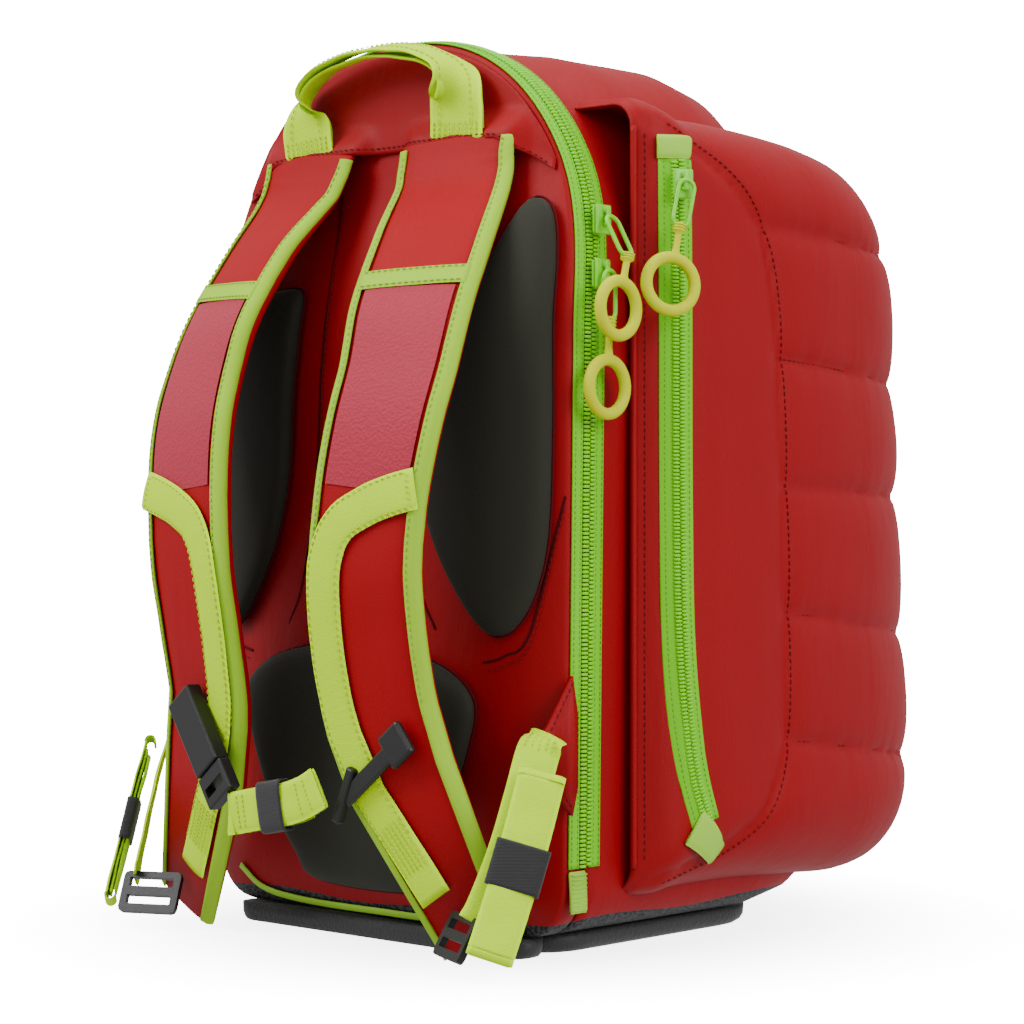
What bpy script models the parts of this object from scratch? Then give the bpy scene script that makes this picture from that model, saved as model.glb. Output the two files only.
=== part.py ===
"""Trauma backpack: a rigid-backed case that opens along an arched zip, with a wrap-round
outer pocket, a padded harness and its hardware.

Metres, +Z up. X is to the wearer's right seen from behind the pack, -Y is the harness
side, +Y the quilted front. The main zip lies near y = 0 and the base rests on z = 0.
"""
import math

import bmesh
import bpy
import numpy as np
from mathutils import Matrix, Vector

# ---------------------------------------------------------------- driving dimensions
CASE_HALF_W = 0.150        # half width along the straight legs of the zip
CASE_HALF_W_LOW = 0.146    # half width just above the base
CASE_BOTTOM = 0.012        # underside of the case, above the base skin
ARCH_Z = 0.350             # height where the arch starts
ARCH_RISE = 0.182          # rise of the arch
ARCH_POWER = 2.3           # superellipse power of the arch at the zip
ARCH_POWER_FRONT = 2.8     # squarer shoulders further forward
CORNER_R = 0.030           # lower corners
LEAN_Z, LEAN_H, LEAN = 0.350, 0.110, 0.0125   # the upper case steps forward between LEAN_Z and LEAN_Z + LEAN_H
WALL = 0.003               # laminated case wall
ZIP_GAP = 0.0015           # half the gap between the two halves
BACK_EDGE = -0.0140        # where the back half's side wall ends
BACK_DOME = 0.020          # crown of the back panel
CASE_DEPTH = 0.234         # main case depth in front of the zip
OUTER_WALL = 0.0030
POCKET_REAR = 0.034        # rear seam of the side pockets
PACK_FRONT = 0.317         # front of the quilted cover
STRAP_T = 0.013
WEB_T = 0.0016             # webbing thickness
WEB_W = 0.025
HANDLE_W = 0.043
RING_R, RING_TUBE = 0.0152, 0.0033
RING_COUNT = 56            # points round a case section

for old in list(bpy.data.objects):
    bpy.data.objects.remove(old, do_unlink=True)
PACK = bpy.data.collections.new("trauma_backpack")
CUTTERS = bpy.data.collections.new("cutters")
bpy.context.scene.collection.children.link(PACK)
bpy.context.scene.collection.children.link(CUTTERS)
CUTTERS.hide_render = True


# ---------------------------------------------------------------- materials
def material(name, rgb, roughness, metallic=0.0):
    made = bpy.data.materials.new(name)
    made.use_nodes = True
    shader = made.node_tree.nodes["Principled BSDF"]
    shader.inputs["Base Color"].default_value = (*rgb, 1.0)
    shader.inputs["Roughness"].default_value = roughness
    shader.inputs["Metallic"].default_value = metallic
    made.diffuse_color = (*rgb, 1.0)
    return made


RED = (0.36, 0.012, 0.020)
LIME = (0.43, 0.62, 0.16)
NEON = (0.66, 0.86, 0.01)
ZIPGREEN = (0.26, 0.70, 0.02)
SILICONE = (0.68, 0.68, 0.02)
CHARCOAL = (0.018, 0.020, 0.016)
BLACK = (0.012, 0.012, 0.012)


# ---------------------------------------------------------------- mesh helpers
def add(name, mesh, rgb, roughness=0.6, where=PACK):
    obj = bpy.data.objects.new(name, mesh)
    where.objects.link(obj)
    if where is CUTTERS:
        obj.hide_render = True
        obj.display_type = "WIRE"
    else:
        mesh.materials.append(material(name + "_mat", rgb, roughness))
    return obj


def mesh_of(name, verts, faces):
    made = bpy.data.meshes.new(name)
    made.from_pydata([tuple(map(float, v)) for v in verts], [], faces)
    made.validate()
    work = bmesh.new()
    work.from_mesh(made)
    bmesh.ops.recalc_face_normals(work, faces=work.faces)
    work.to_mesh(made)
    work.free()
    made.shade_smooth()
    return made


def loft(name, rings, cap_start, cap_end):
    """Quads between rings of equal count, with an n-gon on each end that is asked for."""
    count = len(rings[0])
    verts = [p for ring in rings for p in ring]
    faces = []
    for k in range(len(rings) - 1):
        for i in range(count):
            j = (i + 1) % count
            faces.append((k * count + i, k * count + j, (k + 1) * count + j, (k + 1) * count + i))
    if cap_start:
        faces.append(tuple(range(count)))
    if cap_end:
        faces.append(tuple(reversed(range((len(rings) - 1) * count, len(rings) * count))))
    return mesh_of(name, verts, faces)


def resample(points, count, closed=False):
    """count points at equal arc length along a polyline."""
    pts = np.array(points, float)
    if closed:
        pts = np.vstack([pts, pts[:1]])
    steps = np.linalg.norm(np.diff(pts, axis=0), axis=1)
    arc = np.concatenate([[0], np.cumsum(steps)])
    want = np.linspace(0, arc[-1], count + (1 if closed else 0))
    if closed:
        want = want[:-1]
    return np.stack([np.interp(want, arc, pts[:, k]) for k in range(pts.shape[1])], 1)


def smooth_path(points, count):
    """A smooth curve through control points (centripetal Catmull-Rom), evenly sampled."""
    p = np.array(points, float)
    p = np.vstack([2 * p[0] - p[1], p, 2 * p[-1] - p[-2]])
    out = []
    for i in range(1, len(p) - 2):
        for t in np.linspace(0, 1, 12, endpoint=False):
            a, b, c, d = p[i - 1], p[i], p[i + 1], p[i + 2]
            out.append(0.5 * ((2 * b) + (c - a) * t + (2 * a - 5 * b + 4 * c - d) * t**2 + (3 * b - a - 3 * c + d) * t**3))
    out.append(p[-2])
    return resample(out, count)


def offset_closed(points, inset):
    """A closed 2D outline moved inward along its vertex normals."""
    if inset == 0:
        return points
    tangent = np.roll(points, -1, 0) - np.roll(points, 1, 0)
    tangent /= np.linalg.norm(tangent, axis=1)[:, None]
    return points + inset * np.stack([-tangent[:, 1], tangent[:, 0]], 1)


def lean(z):
    t = np.clip((np.asarray(z) - LEAN_Z) / LEAN_H, 0, 1)
    return LEAN * t * t * (3 - 2 * t)


def case_outline(count, power=ARCH_POWER, inset=0.0, bottom=CASE_BOTTOM, rise=ARCH_RISE, half=CASE_HALF_W):
    """The case's section in XZ: flat base, rounded lower corners, near-straight sides, arch."""
    low = half - (CASE_HALF_W - CASE_HALF_W_LOW)
    pts = [(x, bottom) for x in np.linspace(0, low - CORNER_R, 12)]
    for t in np.linspace(-90, 0, 10)[1:]:
        pts.append((low - CORNER_R + CORNER_R * math.cos(math.radians(t)), bottom + CORNER_R + CORNER_R * math.sin(math.radians(t))))
    pts += [(low + (half - low) * s, bottom + CORNER_R + (ARCH_Z - bottom - CORNER_R) * s) for s in np.linspace(0, 1, 24)[1:]]
    for t in np.linspace(0, math.pi / 2, 60)[1:]:
        pts.append((half * math.cos(t) ** (2 / power), ARCH_Z + rise * math.sin(t) ** (2 / power)))
    right = np.array(pts)
    right[-1, 0] = 0.0
    both = np.vstack([right, (right * (-1, 1))[::-1][1:-1]])
    return offset_closed(resample(both, count, closed=True), inset)


def rounded_rect(count, half, top, bottom, radius):
    """A symmetric rounded rectangle in XZ, starting at the middle of its lower side."""
    pts = [(x, bottom) for x in np.linspace(0, half - radius, 10)]
    for t in np.linspace(-90, 0, 9)[1:]:
        pts.append((half - radius + radius * math.cos(math.radians(t)), bottom + radius + radius * math.sin(math.radians(t))))
    pts += [(half, z) for z in np.linspace(bottom + radius, top - radius, 16)[1:]]
    for t in np.linspace(0, 90, 9)[1:]:
        pts.append((half - radius + radius * math.cos(math.radians(t)), top - radius + radius * math.sin(math.radians(t))))
    pts += [(x, top) for x in np.linspace(half - radius, 0, 10)[1:]]
    right = np.array(pts)
    both = np.vstack([right, (right * (-1, 1))[::-1][1:-1]])
    return resample(both, count, closed=True)


def solidify(obj, thickness, offset):
    mod = obj.modifiers.new("wall", "SOLIDIFY")
    mod.thickness = thickness
    mod.offset = offset
    mod.use_even_offset = False


def boolean(obj, cutter, operation="DIFFERENCE"):
    mod = obj.modifiers.new("cut", "BOOLEAN")
    mod.operation = operation
    mod.solver = "EXACT"
    mod.object = cutter
    return mod


def apply_all(obj):
    """Replaces an object's mesh with its evaluated one, so that later pieces can be cut from it."""
    bpy.context.view_layer.update()
    graph = bpy.context.evaluated_depsgraph_get()
    made = bpy.data.meshes.new_from_object(obj.evaluated_get(graph))
    obj.modifiers.clear()
    obj.data = made
    return obj


def box_mesh(name, size, bevel=0.0, segments=2):
    """A bevelled block centred on its origin."""
    made = bpy.data.meshes.new(name)
    work = bmesh.new()
    bmesh.ops.create_cube(work, size=1.0)
    bmesh.ops.scale(work, vec=size, verts=work.verts)
    if bevel:
        bmesh.ops.bevel(work, geom=list(work.edges), offset=bevel, segments=segments, affect="EDGES", profile=0.5)
    work.to_mesh(made)
    work.free()
    return made


def block(name, centre, size, rgb, rot=(0, 0, 0), bevel=0.0008, segments=1, roughness=0.5, where=PACK):
    obj = add(name, box_mesh(name, size, bevel, segments), rgb, roughness, where)
    obj.location = centre
    obj.rotation_euler = rot
    return obj


def frame_from(tangents, sides):
    """Unit width and normal directions for each station of a band."""
    out_w, out_n = [], []
    for t, s in zip(tangents, sides):
        t = t / np.linalg.norm(t)
        w = s - t * np.dot(s, t)
        w /= np.linalg.norm(w)
        out_w.append(w)
        out_n.append(np.cross(t, w))
    return np.array(out_w), np.array(out_n)


def band(name, path, sides, widths, thick, rgb, lift=0.0, rounded=False, roughness=0.7, where=PACK):
    """A flat band along a path. sides gives the rough width direction; the band's back
    face lies on the path, moved by lift along its normal."""
    path = np.array(path, float)
    count = len(path)
    widths = np.broadcast_to(np.array(widths, float), count)
    thick = np.broadcast_to(np.array(thick, float), count)
    sides = np.broadcast_to(np.array(sides, float), (count, 3))
    tangent = np.gradient(path, axis=0)
    w_dir, n_dir = frame_from(tangent, sides)
    rings = []
    for p, w, n, wide, t in zip(path, w_dir, n_dir, widths, thick):
        h = wide / 2
        if rounded:
            e = min(0.35 * t, 0.35 * h)
            section = [(-h + e, 0), (h - e, 0), (h, e), (h, t - e), (h - e, t), (-h + e, t), (-h, t - e), (-h, e)]
        else:
            section = [(-h, 0), (h, 0), (h, t), (-h, t)]
        rings.append([p + w * a + n * (b + lift) for a, b in section])
    return add(name, loft(name, rings, True, True), rgb, roughness, where)


def join_union(base, *others):
    """One body out of several overlapping ones."""
    for other in others:
        for held in list(other.users_collection):
            held.objects.unlink(other)
        CUTTERS.objects.link(other)
        other.hide_render = True
        other.display_type = "WIRE"
        boolean(base, other, "UNION")
    return base


def plate(name, outer, holes, thickness, matrix, rgb, roughness=0.5):
    """A flat outline with holes, extruded, then placed by a matrix. The outline is in its XY plane."""
    curve = bpy.data.curves.new(name, "CURVE")
    curve.dimensions = "2D"
    curve.fill_mode = "BOTH"
    curve.extrude = thickness / 2
    for loop in [outer, *holes]:
        spline = curve.splines.new("POLY")
        spline.points.add(len(loop) - 1)
        for point, (x, y) in zip(spline.points, loop):
            point.co = (x, y, 0, 1)
        spline.use_cyclic_u = True
    temp = bpy.data.objects.new(name + "_curve", curve)
    PACK.objects.link(temp)
    bpy.context.view_layer.update()
    graph = bpy.context.evaluated_depsgraph_get()
    made = bpy.data.meshes.new_from_object(temp.evaluated_get(graph))
    bpy.data.objects.remove(temp, do_unlink=True)
    work = bmesh.new()
    work.from_mesh(made)
    bmesh.ops.remove_doubles(work, verts=work.verts, dist=1e-6)
    bmesh.ops.recalc_face_normals(work, faces=work.faces)
    work.to_mesh(made)
    work.free()
    made.materials.clear()
    obj = add(name, made, rgb, roughness)
    obj.matrix_world = matrix
    return obj


def stadium(half_w, half_h, count=8):
    """A slot outline with round ends, long axis along Y."""
    straight = half_h - half_w
    pts = [(half_w * math.cos(t), straight + half_w * math.sin(t)) for t in np.linspace(0, math.pi, count)]
    pts += [(-half_w * math.cos(t), -straight - half_w * math.sin(t)) for t in np.linspace(0, math.pi, count)]
    return pts


def rect(half_w, half_h, cx=0.0, cy=0.0, corner=0.0):
    if not corner:
        return [(cx - half_w, cy - half_h), (cx + half_w, cy - half_h), (cx + half_w, cy + half_h), (cx - half_w, cy + half_h)]
    pts = []
    for qx, qy, start in ((1, -1, -90), (1, 1, 0), (-1, 1, 90), (-1, -1, 180)):
        for t in (0, 45, 90):
            a = math.radians(start + t)
            pts.append((cx + qx * (half_w - corner) + corner * math.cos(a), cy + qy * (half_h - corner) + corner * math.sin(a)))
    return pts


# ---------------------------------------------------------------- back panel surface
OUTLINE_DENSE = case_outline(240)


def depth_inside(x, z):
    """Distance from a point of the back panel to the edge of the case."""
    return float(np.min(np.hypot(OUTLINE_DENSE[:, 0] - x, OUTLINE_DENSE[:, 1] - z)))


def crown(z):
    """How much of the full crown the panel has at a height: less towards the shoulders and base."""
    return float(np.interp(z, [0.0, 0.06, 0.15, 0.33, 0.40, 0.44, 0.46, 0.53], [0.55, 0.85, 1.0, 1.0, 0.65, 0.35, 0.25, 0.1]))


def dome(depth):
    return BACK_DOME * (1 - math.exp(-depth / 0.030))


def back_y(x, z):
    return BACK_EDGE - dome(depth_inside(x, z)) * crown(z) + float(lean(z))


# ---------------------------------------------------------------- case halves
def ring_at(section, y_of):
    return [(x, y_of(x, z), z) for x, z in section]


rings = [ring_at(case_outline(RING_COUNT), lambda x, z: -ZIP_GAP + float(lean(z)))]
rings.append(ring_at(case_outline(RING_COUNT, inset=0.0004), lambda x, z: BACK_EDGE + 0.002 + float(lean(z))))
for inset in (0.003, 0.010, 0.022):
    rings.append(ring_at(case_outline(RING_COUNT, inset=inset), lambda x, z, d=inset: BACK_EDGE - dome(d) * crown(z) + float(lean(z))))
# deeper rings shrink the last one toward the middle, so that they never cross themselves at the corners
last_ring = case_outline(RING_COUNT, inset=0.022)
for extra in (0.020, 0.048, 0.083):
    shrunk = [(x * (0.128 - extra) / 0.128, 0.272 + (z - 0.272) * (0.238 - extra) / 0.238) for x, z in last_ring]
    rings.append(ring_at(shrunk, lambda x, z, d=0.022 + extra: BACK_EDGE - dome(d) * crown(z) + float(lean(z))))
back_shell = add("back_shell", loft("back_shell", rings, False, True), RED, 0.5)
solidify(back_shell, WALL, -1)


def front_section(y):
    """The main case's section y in front of the zip."""
    power = float(np.interp(y, [0.0, 0.020, 0.06], [ARCH_POWER, ARCH_POWER, ARCH_POWER_FRONT]))
    inset = float(np.interp(y, [0.0, 0.140, 0.172, 0.198, 0.217, 0.228, CASE_DEPTH], [0, 0, 0.006, 0.018, 0.036, 0.060, 0.100]))
    bottom = float(np.interp(y, [0.0, 0.14, 0.19, CASE_DEPTH], [CASE_BOTTOM, CASE_BOTTOM, CASE_BOTTOM, 0.018]))
    return power, inset, bottom


def front_rings(grow, first, last):
    out = []
    for y in (first, 0.018, 0.036, 0.060, 0.105, 0.140, 0.172, 0.198, 0.217, 0.228, last):
        power, inset, bottom = front_section(min(y, CASE_DEPTH))
        fade = min(1.0, max(0.0, (0.12 - y) / 0.10))
        # below the middle the front face slopes outward, as a loaded case does
        out.append(ring_at(case_outline(RING_COUNT, power=power, inset=inset - grow, bottom=bottom),
                           lambda x, z, y=y, f=fade: y * (1 + 0.20 * max(0.0, 0.30 - z) / 0.27) + float(lean(z)) * f))
    return out


front_shell = add("front_shell", loft("front_shell", front_rings(0, ZIP_GAP, CASE_DEPTH), False, True), RED, 0.5)
solidify(front_shell, WALL, -1)
case_cutter = add("case_cutter", loft("case_cutter", front_rings(0.0005, -0.01, CASE_DEPTH + 0.0006), True, True), RED, where=CUTTERS)

# ---------------------------------------------------------------- wrap-round outer pocket
# (y, half width, top, bottom, corner radius) of the pocket's sections
OUTER = [
    (POCKET_REAR, 0.110, 0.430, 0.090, 0.030),
    (POCKET_REAR, 0.1525, 0.488, 0.036, 0.014),
    (0.044, 0.1630, 0.488, 0.036, 0.022),
    (0.056, 0.1710, 0.485, 0.036, 0.030),
    (0.075, 0.1750, 0.480, 0.038, 0.038),
    (0.105, 0.1770, 0.479, 0.038, 0.044),
    (0.145, 0.1785, 0.478, 0.037, 0.048),
    (0.195, 0.1780, 0.475, 0.034, 0.052),
    (0.235, 0.1730, 0.469, 0.031, 0.054),
    (0.268, 0.1610, 0.455, 0.034, 0.056),
    (0.292, 0.1410, 0.435, 0.044, 0.060),
    (0.308, 0.1100, 0.407, 0.072, 0.058),
    (0.315, 0.0700, 0.365, 0.115, 0.050),
    (PACK_FRONT, 0.0300, 0.310, 0.170, 0.025),
]


def outer_half_width(y):
    return float(np.interp(y, [s[0] for s in OUTER[1:]], [s[1] for s in OUTER[1:]]))


FRONT_SLOPE = 0.075        # the quilted front stands further out towards the base


def sheared(y, z):
    return y + max(0.0, y - 0.15) / 0.165 * FRONT_SLOPE * (0.40 - z)


outer_rings = [[(x, sheared(y, z), z) for x, z in rounded_rect(60, half, top, bottom, radius)] for y, half, top, bottom, radius in OUTER]
outer = add("outer_body", loft("outer_body", outer_rings, False, True), RED, 0.5)
solidify(outer, OUTER_WALL, -1)
boolean(outer, case_cutter)
apply_all(outer)

# D-shaped side panel in YZ, from the rear seam round to the quilted cover's edge
SIDE_SEAM = [(0.060, 0.465), (0.090, 0.449), (0.112, 0.430), (0.126, 0.405), (0.134, 0.365), (0.139, 0.300), (0.142, 0.220),
             (0.143, 0.130), (0.138, 0.100), (0.124, 0.076), (0.098, 0.060), (0.070, 0.051)]
seam = smooth_path([(0.020, 0.486), *SIDE_SEAM, (0.020, 0.036)], 26)


def side_cutter(name, sign, grow):
    inner, outer_x = 0.146, 0.20
    pts = np.array(seam)
    centre = pts.mean(0)
    pts = pts + (pts - centre) / np.linalg.norm(pts - centre, axis=1)[:, None] * grow
    a = [(sign * inner, y, z) for y, z in pts]
    b = [(sign * outer_x, y, z) for y, z in pts]
    return add(name, loft(name, [a, b], True, True), RED, where=CUTTERS)


def volume_of(mesh):
    work = bmesh.new()
    work.from_mesh(mesh)
    found = work.calc_volume(signed=False) if all(e.is_manifold for e in work.edges) else 0.0
    work.free()
    return found


def cut_with_side(obj, side, sign, operation, grows, least, most):
    """Cuts by the side prism, trying sizes a hair apart until the result is a closed solid of the expected volume."""
    whole = obj.data
    for n, grow in enumerate(grows):
        obj.data = whole.copy()
        boolean(obj, side_cutter("%s_%s_%d" % (operation.lower(), side, n), sign, grow), operation)
        apply_all(obj)
        if least < volume_of(obj.data) * 1e6 < most:
            return


def mirrored(mesh):
    work = bmesh.new()
    work.from_mesh(mesh)
    bmesh.ops.scale(work, vec=(-1, 1, 1), verts=work.verts)
    bmesh.ops.reverse_faces(work, faces=work.faces)
    made = bpy.data.meshes.new("mirrored")
    work.to_mesh(made)
    work.free()
    made.materials.clear()
    return made


panel = add("side_panel_left", outer.data.copy(), RED, 0.5)
cut_with_side(panel, "left", -1, "INTERSECT", [-0.00003 * n for n in range(8)], 60, 200)
add("side_panel_right", mirrored(panel.data), RED, 0.5)
cover = add("front_cover", outer.data.copy(), RED, 0.5)
cut_with_side(cover, "left", -1, "DIFFERENCE", [0.00033 + 0.00003 * n for n in range(12)], 500, 1500)
# the other side is cut the same: keep the left half and mirror it
mirror = cover.modifiers.new("both_sides", "MIRROR")
mirror.use_bisect_axis = (True, False, False)
mirror.use_bisect_flip_axis = (True, False, False)
mirror.merge_threshold = 0.00001
apply_all(cover)
bpy.data.objects.remove(outer, do_unlink=True)


# ---------------------------------------------------------------- base
def base_slab(name, y0, y1, half, corner, top):
    pts = rect(half, (y1 - y0) / 2, 0, (y0 + y1) / 2, corner)
    near = y0 if abs(y0) < abs(y1) else y1
    lower = [(x * 0.965, (y - near) * 0.96 + near, 0.0) for x, y in pts]
    mid = [(x, y, 0.005) for x, y in pts]
    upper = [(x, y, top) for x, y in pts]
    return add(name, loft(name, [lower, mid, upper], True, True), BLACK, 0.8)


base_slab("base_front", -0.0008, 0.204, 0.134, 0.030, CASE_BOTTOM - 0.0004)
base_slab("base_back", -0.0245, -0.0016, 0.128, 0.008, CASE_BOTTOM - 0.0004)

frame_sheet = block("frame_sheet", (0, -0.0113, 0.225), (0.236, 0.0018, 0.330), BLACK, bevel=0.0)

# ---------------------------------------------------------------- main zip
ZIP_LOW = 0.052


def zip_band(name, sign):
    """One tape of the main zip with its row of coil, over the arch from leg to leg."""
    dense = case_outline(400)
    keep = [p for p in dense if p[1] >= ZIP_LOW]
    start = max(range(len(keep)), key=lambda i: keep[i][0] if abs(keep[i][1] - ZIP_LOW) < 0.002 else -1)
    keep = keep[start:] + keep[:start]
    path = resample(keep, 62)
    tangent = np.gradient(path, axis=0)
    tangent /= np.linalg.norm(tangent, axis=1)[:, None]
    normal = np.stack([tangent[:, 1], -tangent[:, 0]], 1)
    section = [(0.0128, 0.0004), (0.0128, 0.0014), (0.0052, 0.0014), (0.0046, 0.0034), (0.0012, 0.0040), (0.0005, 0.0034), (0.0005, 0.0004)]
    rings = []
    for (x, z), (nx, nz) in zip(path, normal):
        rings.append([(x + nx * out, sign * along + float(lean(z)), z + nz * out) for along, out in section])
    return add(name, loft(name, rings, True, True), ZIPGREEN, 0.5)


zip_band("main_zip_back", -1)
zip_band("main_zip_front", 1)

for side, sign in (("right", 1), ("left", -1)):
    block("zip_end_tab_" + side, (sign * 0.1470, -0.0072, 0.0400), (0.0012, 0.0130, 0.0215), LIME, bevel=0.0)


# ---------------------------------------------------------------- pads
def pad(name, outline, thickness, count=34, centre=None):
    """A domed cushion whose back follows the back panel."""
    ring = smooth_path(list(outline) + [outline[0]], count + 1)[:-1]
    mid = np.array(centre) if centre is not None else ring.mean(0)
    top, low = [], []
    for scale, height in ((1.0, 0.30), (0.95, 0.72), (0.84, 0.95), (0.55, 1.0)):
        pts = mid + (ring - mid) * scale
        top.append([(x, back_y(x, z) - 0.0040 - thickness * height, z) for x, z in pts])
        low.append([(x, back_y(x, z) - 0.0040, z) for x, z in pts])
    return add(name, loft(name, [*low[::-1], *top], True, True), CHARCOAL, 0.7)


UPPER_PAD = [(0.054, 0.386), (0.051, 0.360), (0.053, 0.320), (0.058, 0.268), (0.074, 0.224), (0.104, 0.186), (0.126, 0.192), (0.140, 0.230),
             (0.1435, 0.300), (0.1430, 0.370), (0.1400, 0.404), (0.1320, 0.426), (0.1180, 0.430), (0.1060, 0.410), (0.0960, 0.392), (0.078, 0.388)]
LUMBAR = [(0.0, 0.177), (0.045, 0.172), (0.078, 0.162), (0.095, 0.145), (0.090, 0.118), (0.074, 0.080), (0.056, 0.048), (0.040, 0.032)]
pad("back_pad_right", UPPER_PAD, 0.009, centre=(0.096, 0.295))
pad("back_pad_left", [(-x, z) for x, z in reversed(UPPER_PAD)], 0.009, centre=(-0.096, 0.295))
pad("lumbar_pad", LUMBAR + [(-x, z) for x, z in reversed(LUMBAR[1:])], 0.010, centre=(0, 0.105))

# ---------------------------------------------------------------- shoulder straps
# (height, y of the outer face, distance of the middle from the centre plane, yaw in degrees, width, thickness)
STRAP = [
    (0.470, -0.0165, 0.0625, 5, 0.082, 0.0060),
    (0.455, -0.0210, 0.0640, 6, 0.080, 0.0070),
    (0.440, -0.0280, 0.0675, 8, 0.079, 0.0090),
    (0.412, -0.0490, 0.0745, 13, 0.077, 0.0120),
    (0.372, -0.0735, 0.0805, 13, 0.077, STRAP_T),
    (0.337, -0.0870, 0.0835, 10, 0.076, STRAP_T),
    (0.302, -0.0980, 0.0820, 8, 0.076, STRAP_T),
    (0.262, -0.1040, 0.0780, 7, 0.075, STRAP_T),
    (0.222, -0.1050, 0.0745, 7, 0.075, STRAP_T),
    (0.182, -0.0995, 0.0725, 8, 0.076, STRAP_T),
    (0.142, -0.0920, 0.0735, 9, 0.0765, STRAP_T),
    (0.107, -0.0860, 0.0830, 9, 0.075, STRAP_T),
    (0.069, -0.0795, 0.0975, 9, 0.070, 0.0110),
    (0.032, -0.0690, 0.1150, 9, 0.060, 0.0090),
    (0.014, -0.0630, 0.1240, 9, 0.052, 0.0070),
]
STRAP_LINE = smooth_path(STRAP, 30)


def strap_stations(sign):
    """Path on the outer face, the width direction and sizes, from the top down."""
    path = np.stack([sign * STRAP_LINE[:, 2], STRAP_LINE[:, 1], STRAP_LINE[:, 0]], 1)
    yaw = np.radians(STRAP_LINE[:, 3])
    sides = np.stack([np.cos(yaw), sign * np.sin(yaw), 0 * yaw], 1)
    return path, sides, STRAP_LINE[:, 4], STRAP_LINE[:, 5]


def on_strap(sign, z, share, lift):
    """A point over a strap's outer face. share runs from -0.5 at the inner edge to 0.5 at the outer one."""
    path, sides, widths, _ = strap_stations(sign)
    tangent = np.gradient(path, axis=0)
    w_dir, n_dir = frame_from(tangent, sides)
    order = np.argsort(path[:, 2])
    pick = lambda values: np.array([np.interp(z, path[order, 2], values[order, k]) for k in range(3)])
    width = float(np.interp(z, path[order, 2], widths[order]))
    out = pick(n_dir)
    if out[1] > 0:
        out = -out
    return pick(path) + pick(w_dir) * (sign * share * width) + out / np.linalg.norm(out) * lift


for side, sign in (("right", 1), ("left", -1)):
    path, sides, widths, thick = strap_stations(sign)
    tangent = np.gradient(path, axis=0)
    _, n_dir = frame_from(tangent, sides)
    inward = n_dir * np.where(n_dir[:, 1:2] > 0, 1, -1)
    back = path + inward * thick[:, None]
    flip = sides if n_dir[0, 1] < 0 else -sides
    band("shoulder_strap_" + side, back, flip, widths, thick, RED, rounded=True)

    # rail for the chest strap: crosses the strap, turns at its inner edge and runs down it
    rail = [on_strap(sign, 0.268, 0.44, 0.0012), on_strap(sign, 0.260, 0.22, 0.0012), on_strap(sign, 0.251, -0.02, 0.0012),
            on_strap(sign, 0.238, -0.24, 0.0012), on_strap(sign, 0.215, -0.33, 0.0012), on_strap(sign, 0.180, -0.33, 0.0012),
            on_strap(sign, 0.142, -0.30, 0.0012), on_strap(sign, 0.107, -0.26, 0.0012), on_strap(sign, 0.069, -0.20, 0.0012),
            on_strap(sign, 0.040, -0.14, 0.0012)]
    rail = smooth_path(rail, 24)
    tangent = np.gradient(rail, axis=0)
    out = np.array([0.10 * sign, -1.0, 0.0])
    across = np.cross(tangent, np.broadcast_to(out, tangent.shape))
    across = across if np.cross(tangent[5], across[5])[1] < 0 else -across
    band("sternum_rail_" + side, rail, across, WEB_W * 0.92, WEB_T, NEON, roughness=0.8)

# ---------------------------------------------------------------- carry handle
HANDLE_X, HANDLE_LOW = 0.0625, 0.4735
HANDLE = [(HANDLE_X, -0.0105, HANDLE_LOW), (0.0637, -0.0125, 0.4870), (0.0635, -0.0165, 0.5000), (0.0580, -0.0205, 0.5120),
          (0.0430, -0.0225, 0.5205), (0.0220, -0.0225, 0.5255), (0.0, -0.0225, 0.5270)]
handle_line = smooth_path(HANDLE + [(-x, y, z) for x, y, z in HANDLE[-2::-1]], 34)
# flat against the yoke at its sewn ends, turned and folded to half its width over the top
turned = np.clip((handle_line[:, 2] - 0.486) / 0.030, 0, 1)
handle_side = np.stack([np.sign(handle_line[:, 0]) * (1 - turned), -turned - 0.05, 0 * turned], 1)
handle = band("carry_handle", handle_line, handle_side, HANDLE_W - 0.023 * turned, WEB_T + 0.0024 * turned, NEON, lift=-0.0008)
handle_origin = Vector((0, -0.0105, HANDLE_LOW))
handle.data.transform(Matrix.Translation(-handle_origin))
handle.location = handle_origin


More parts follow.
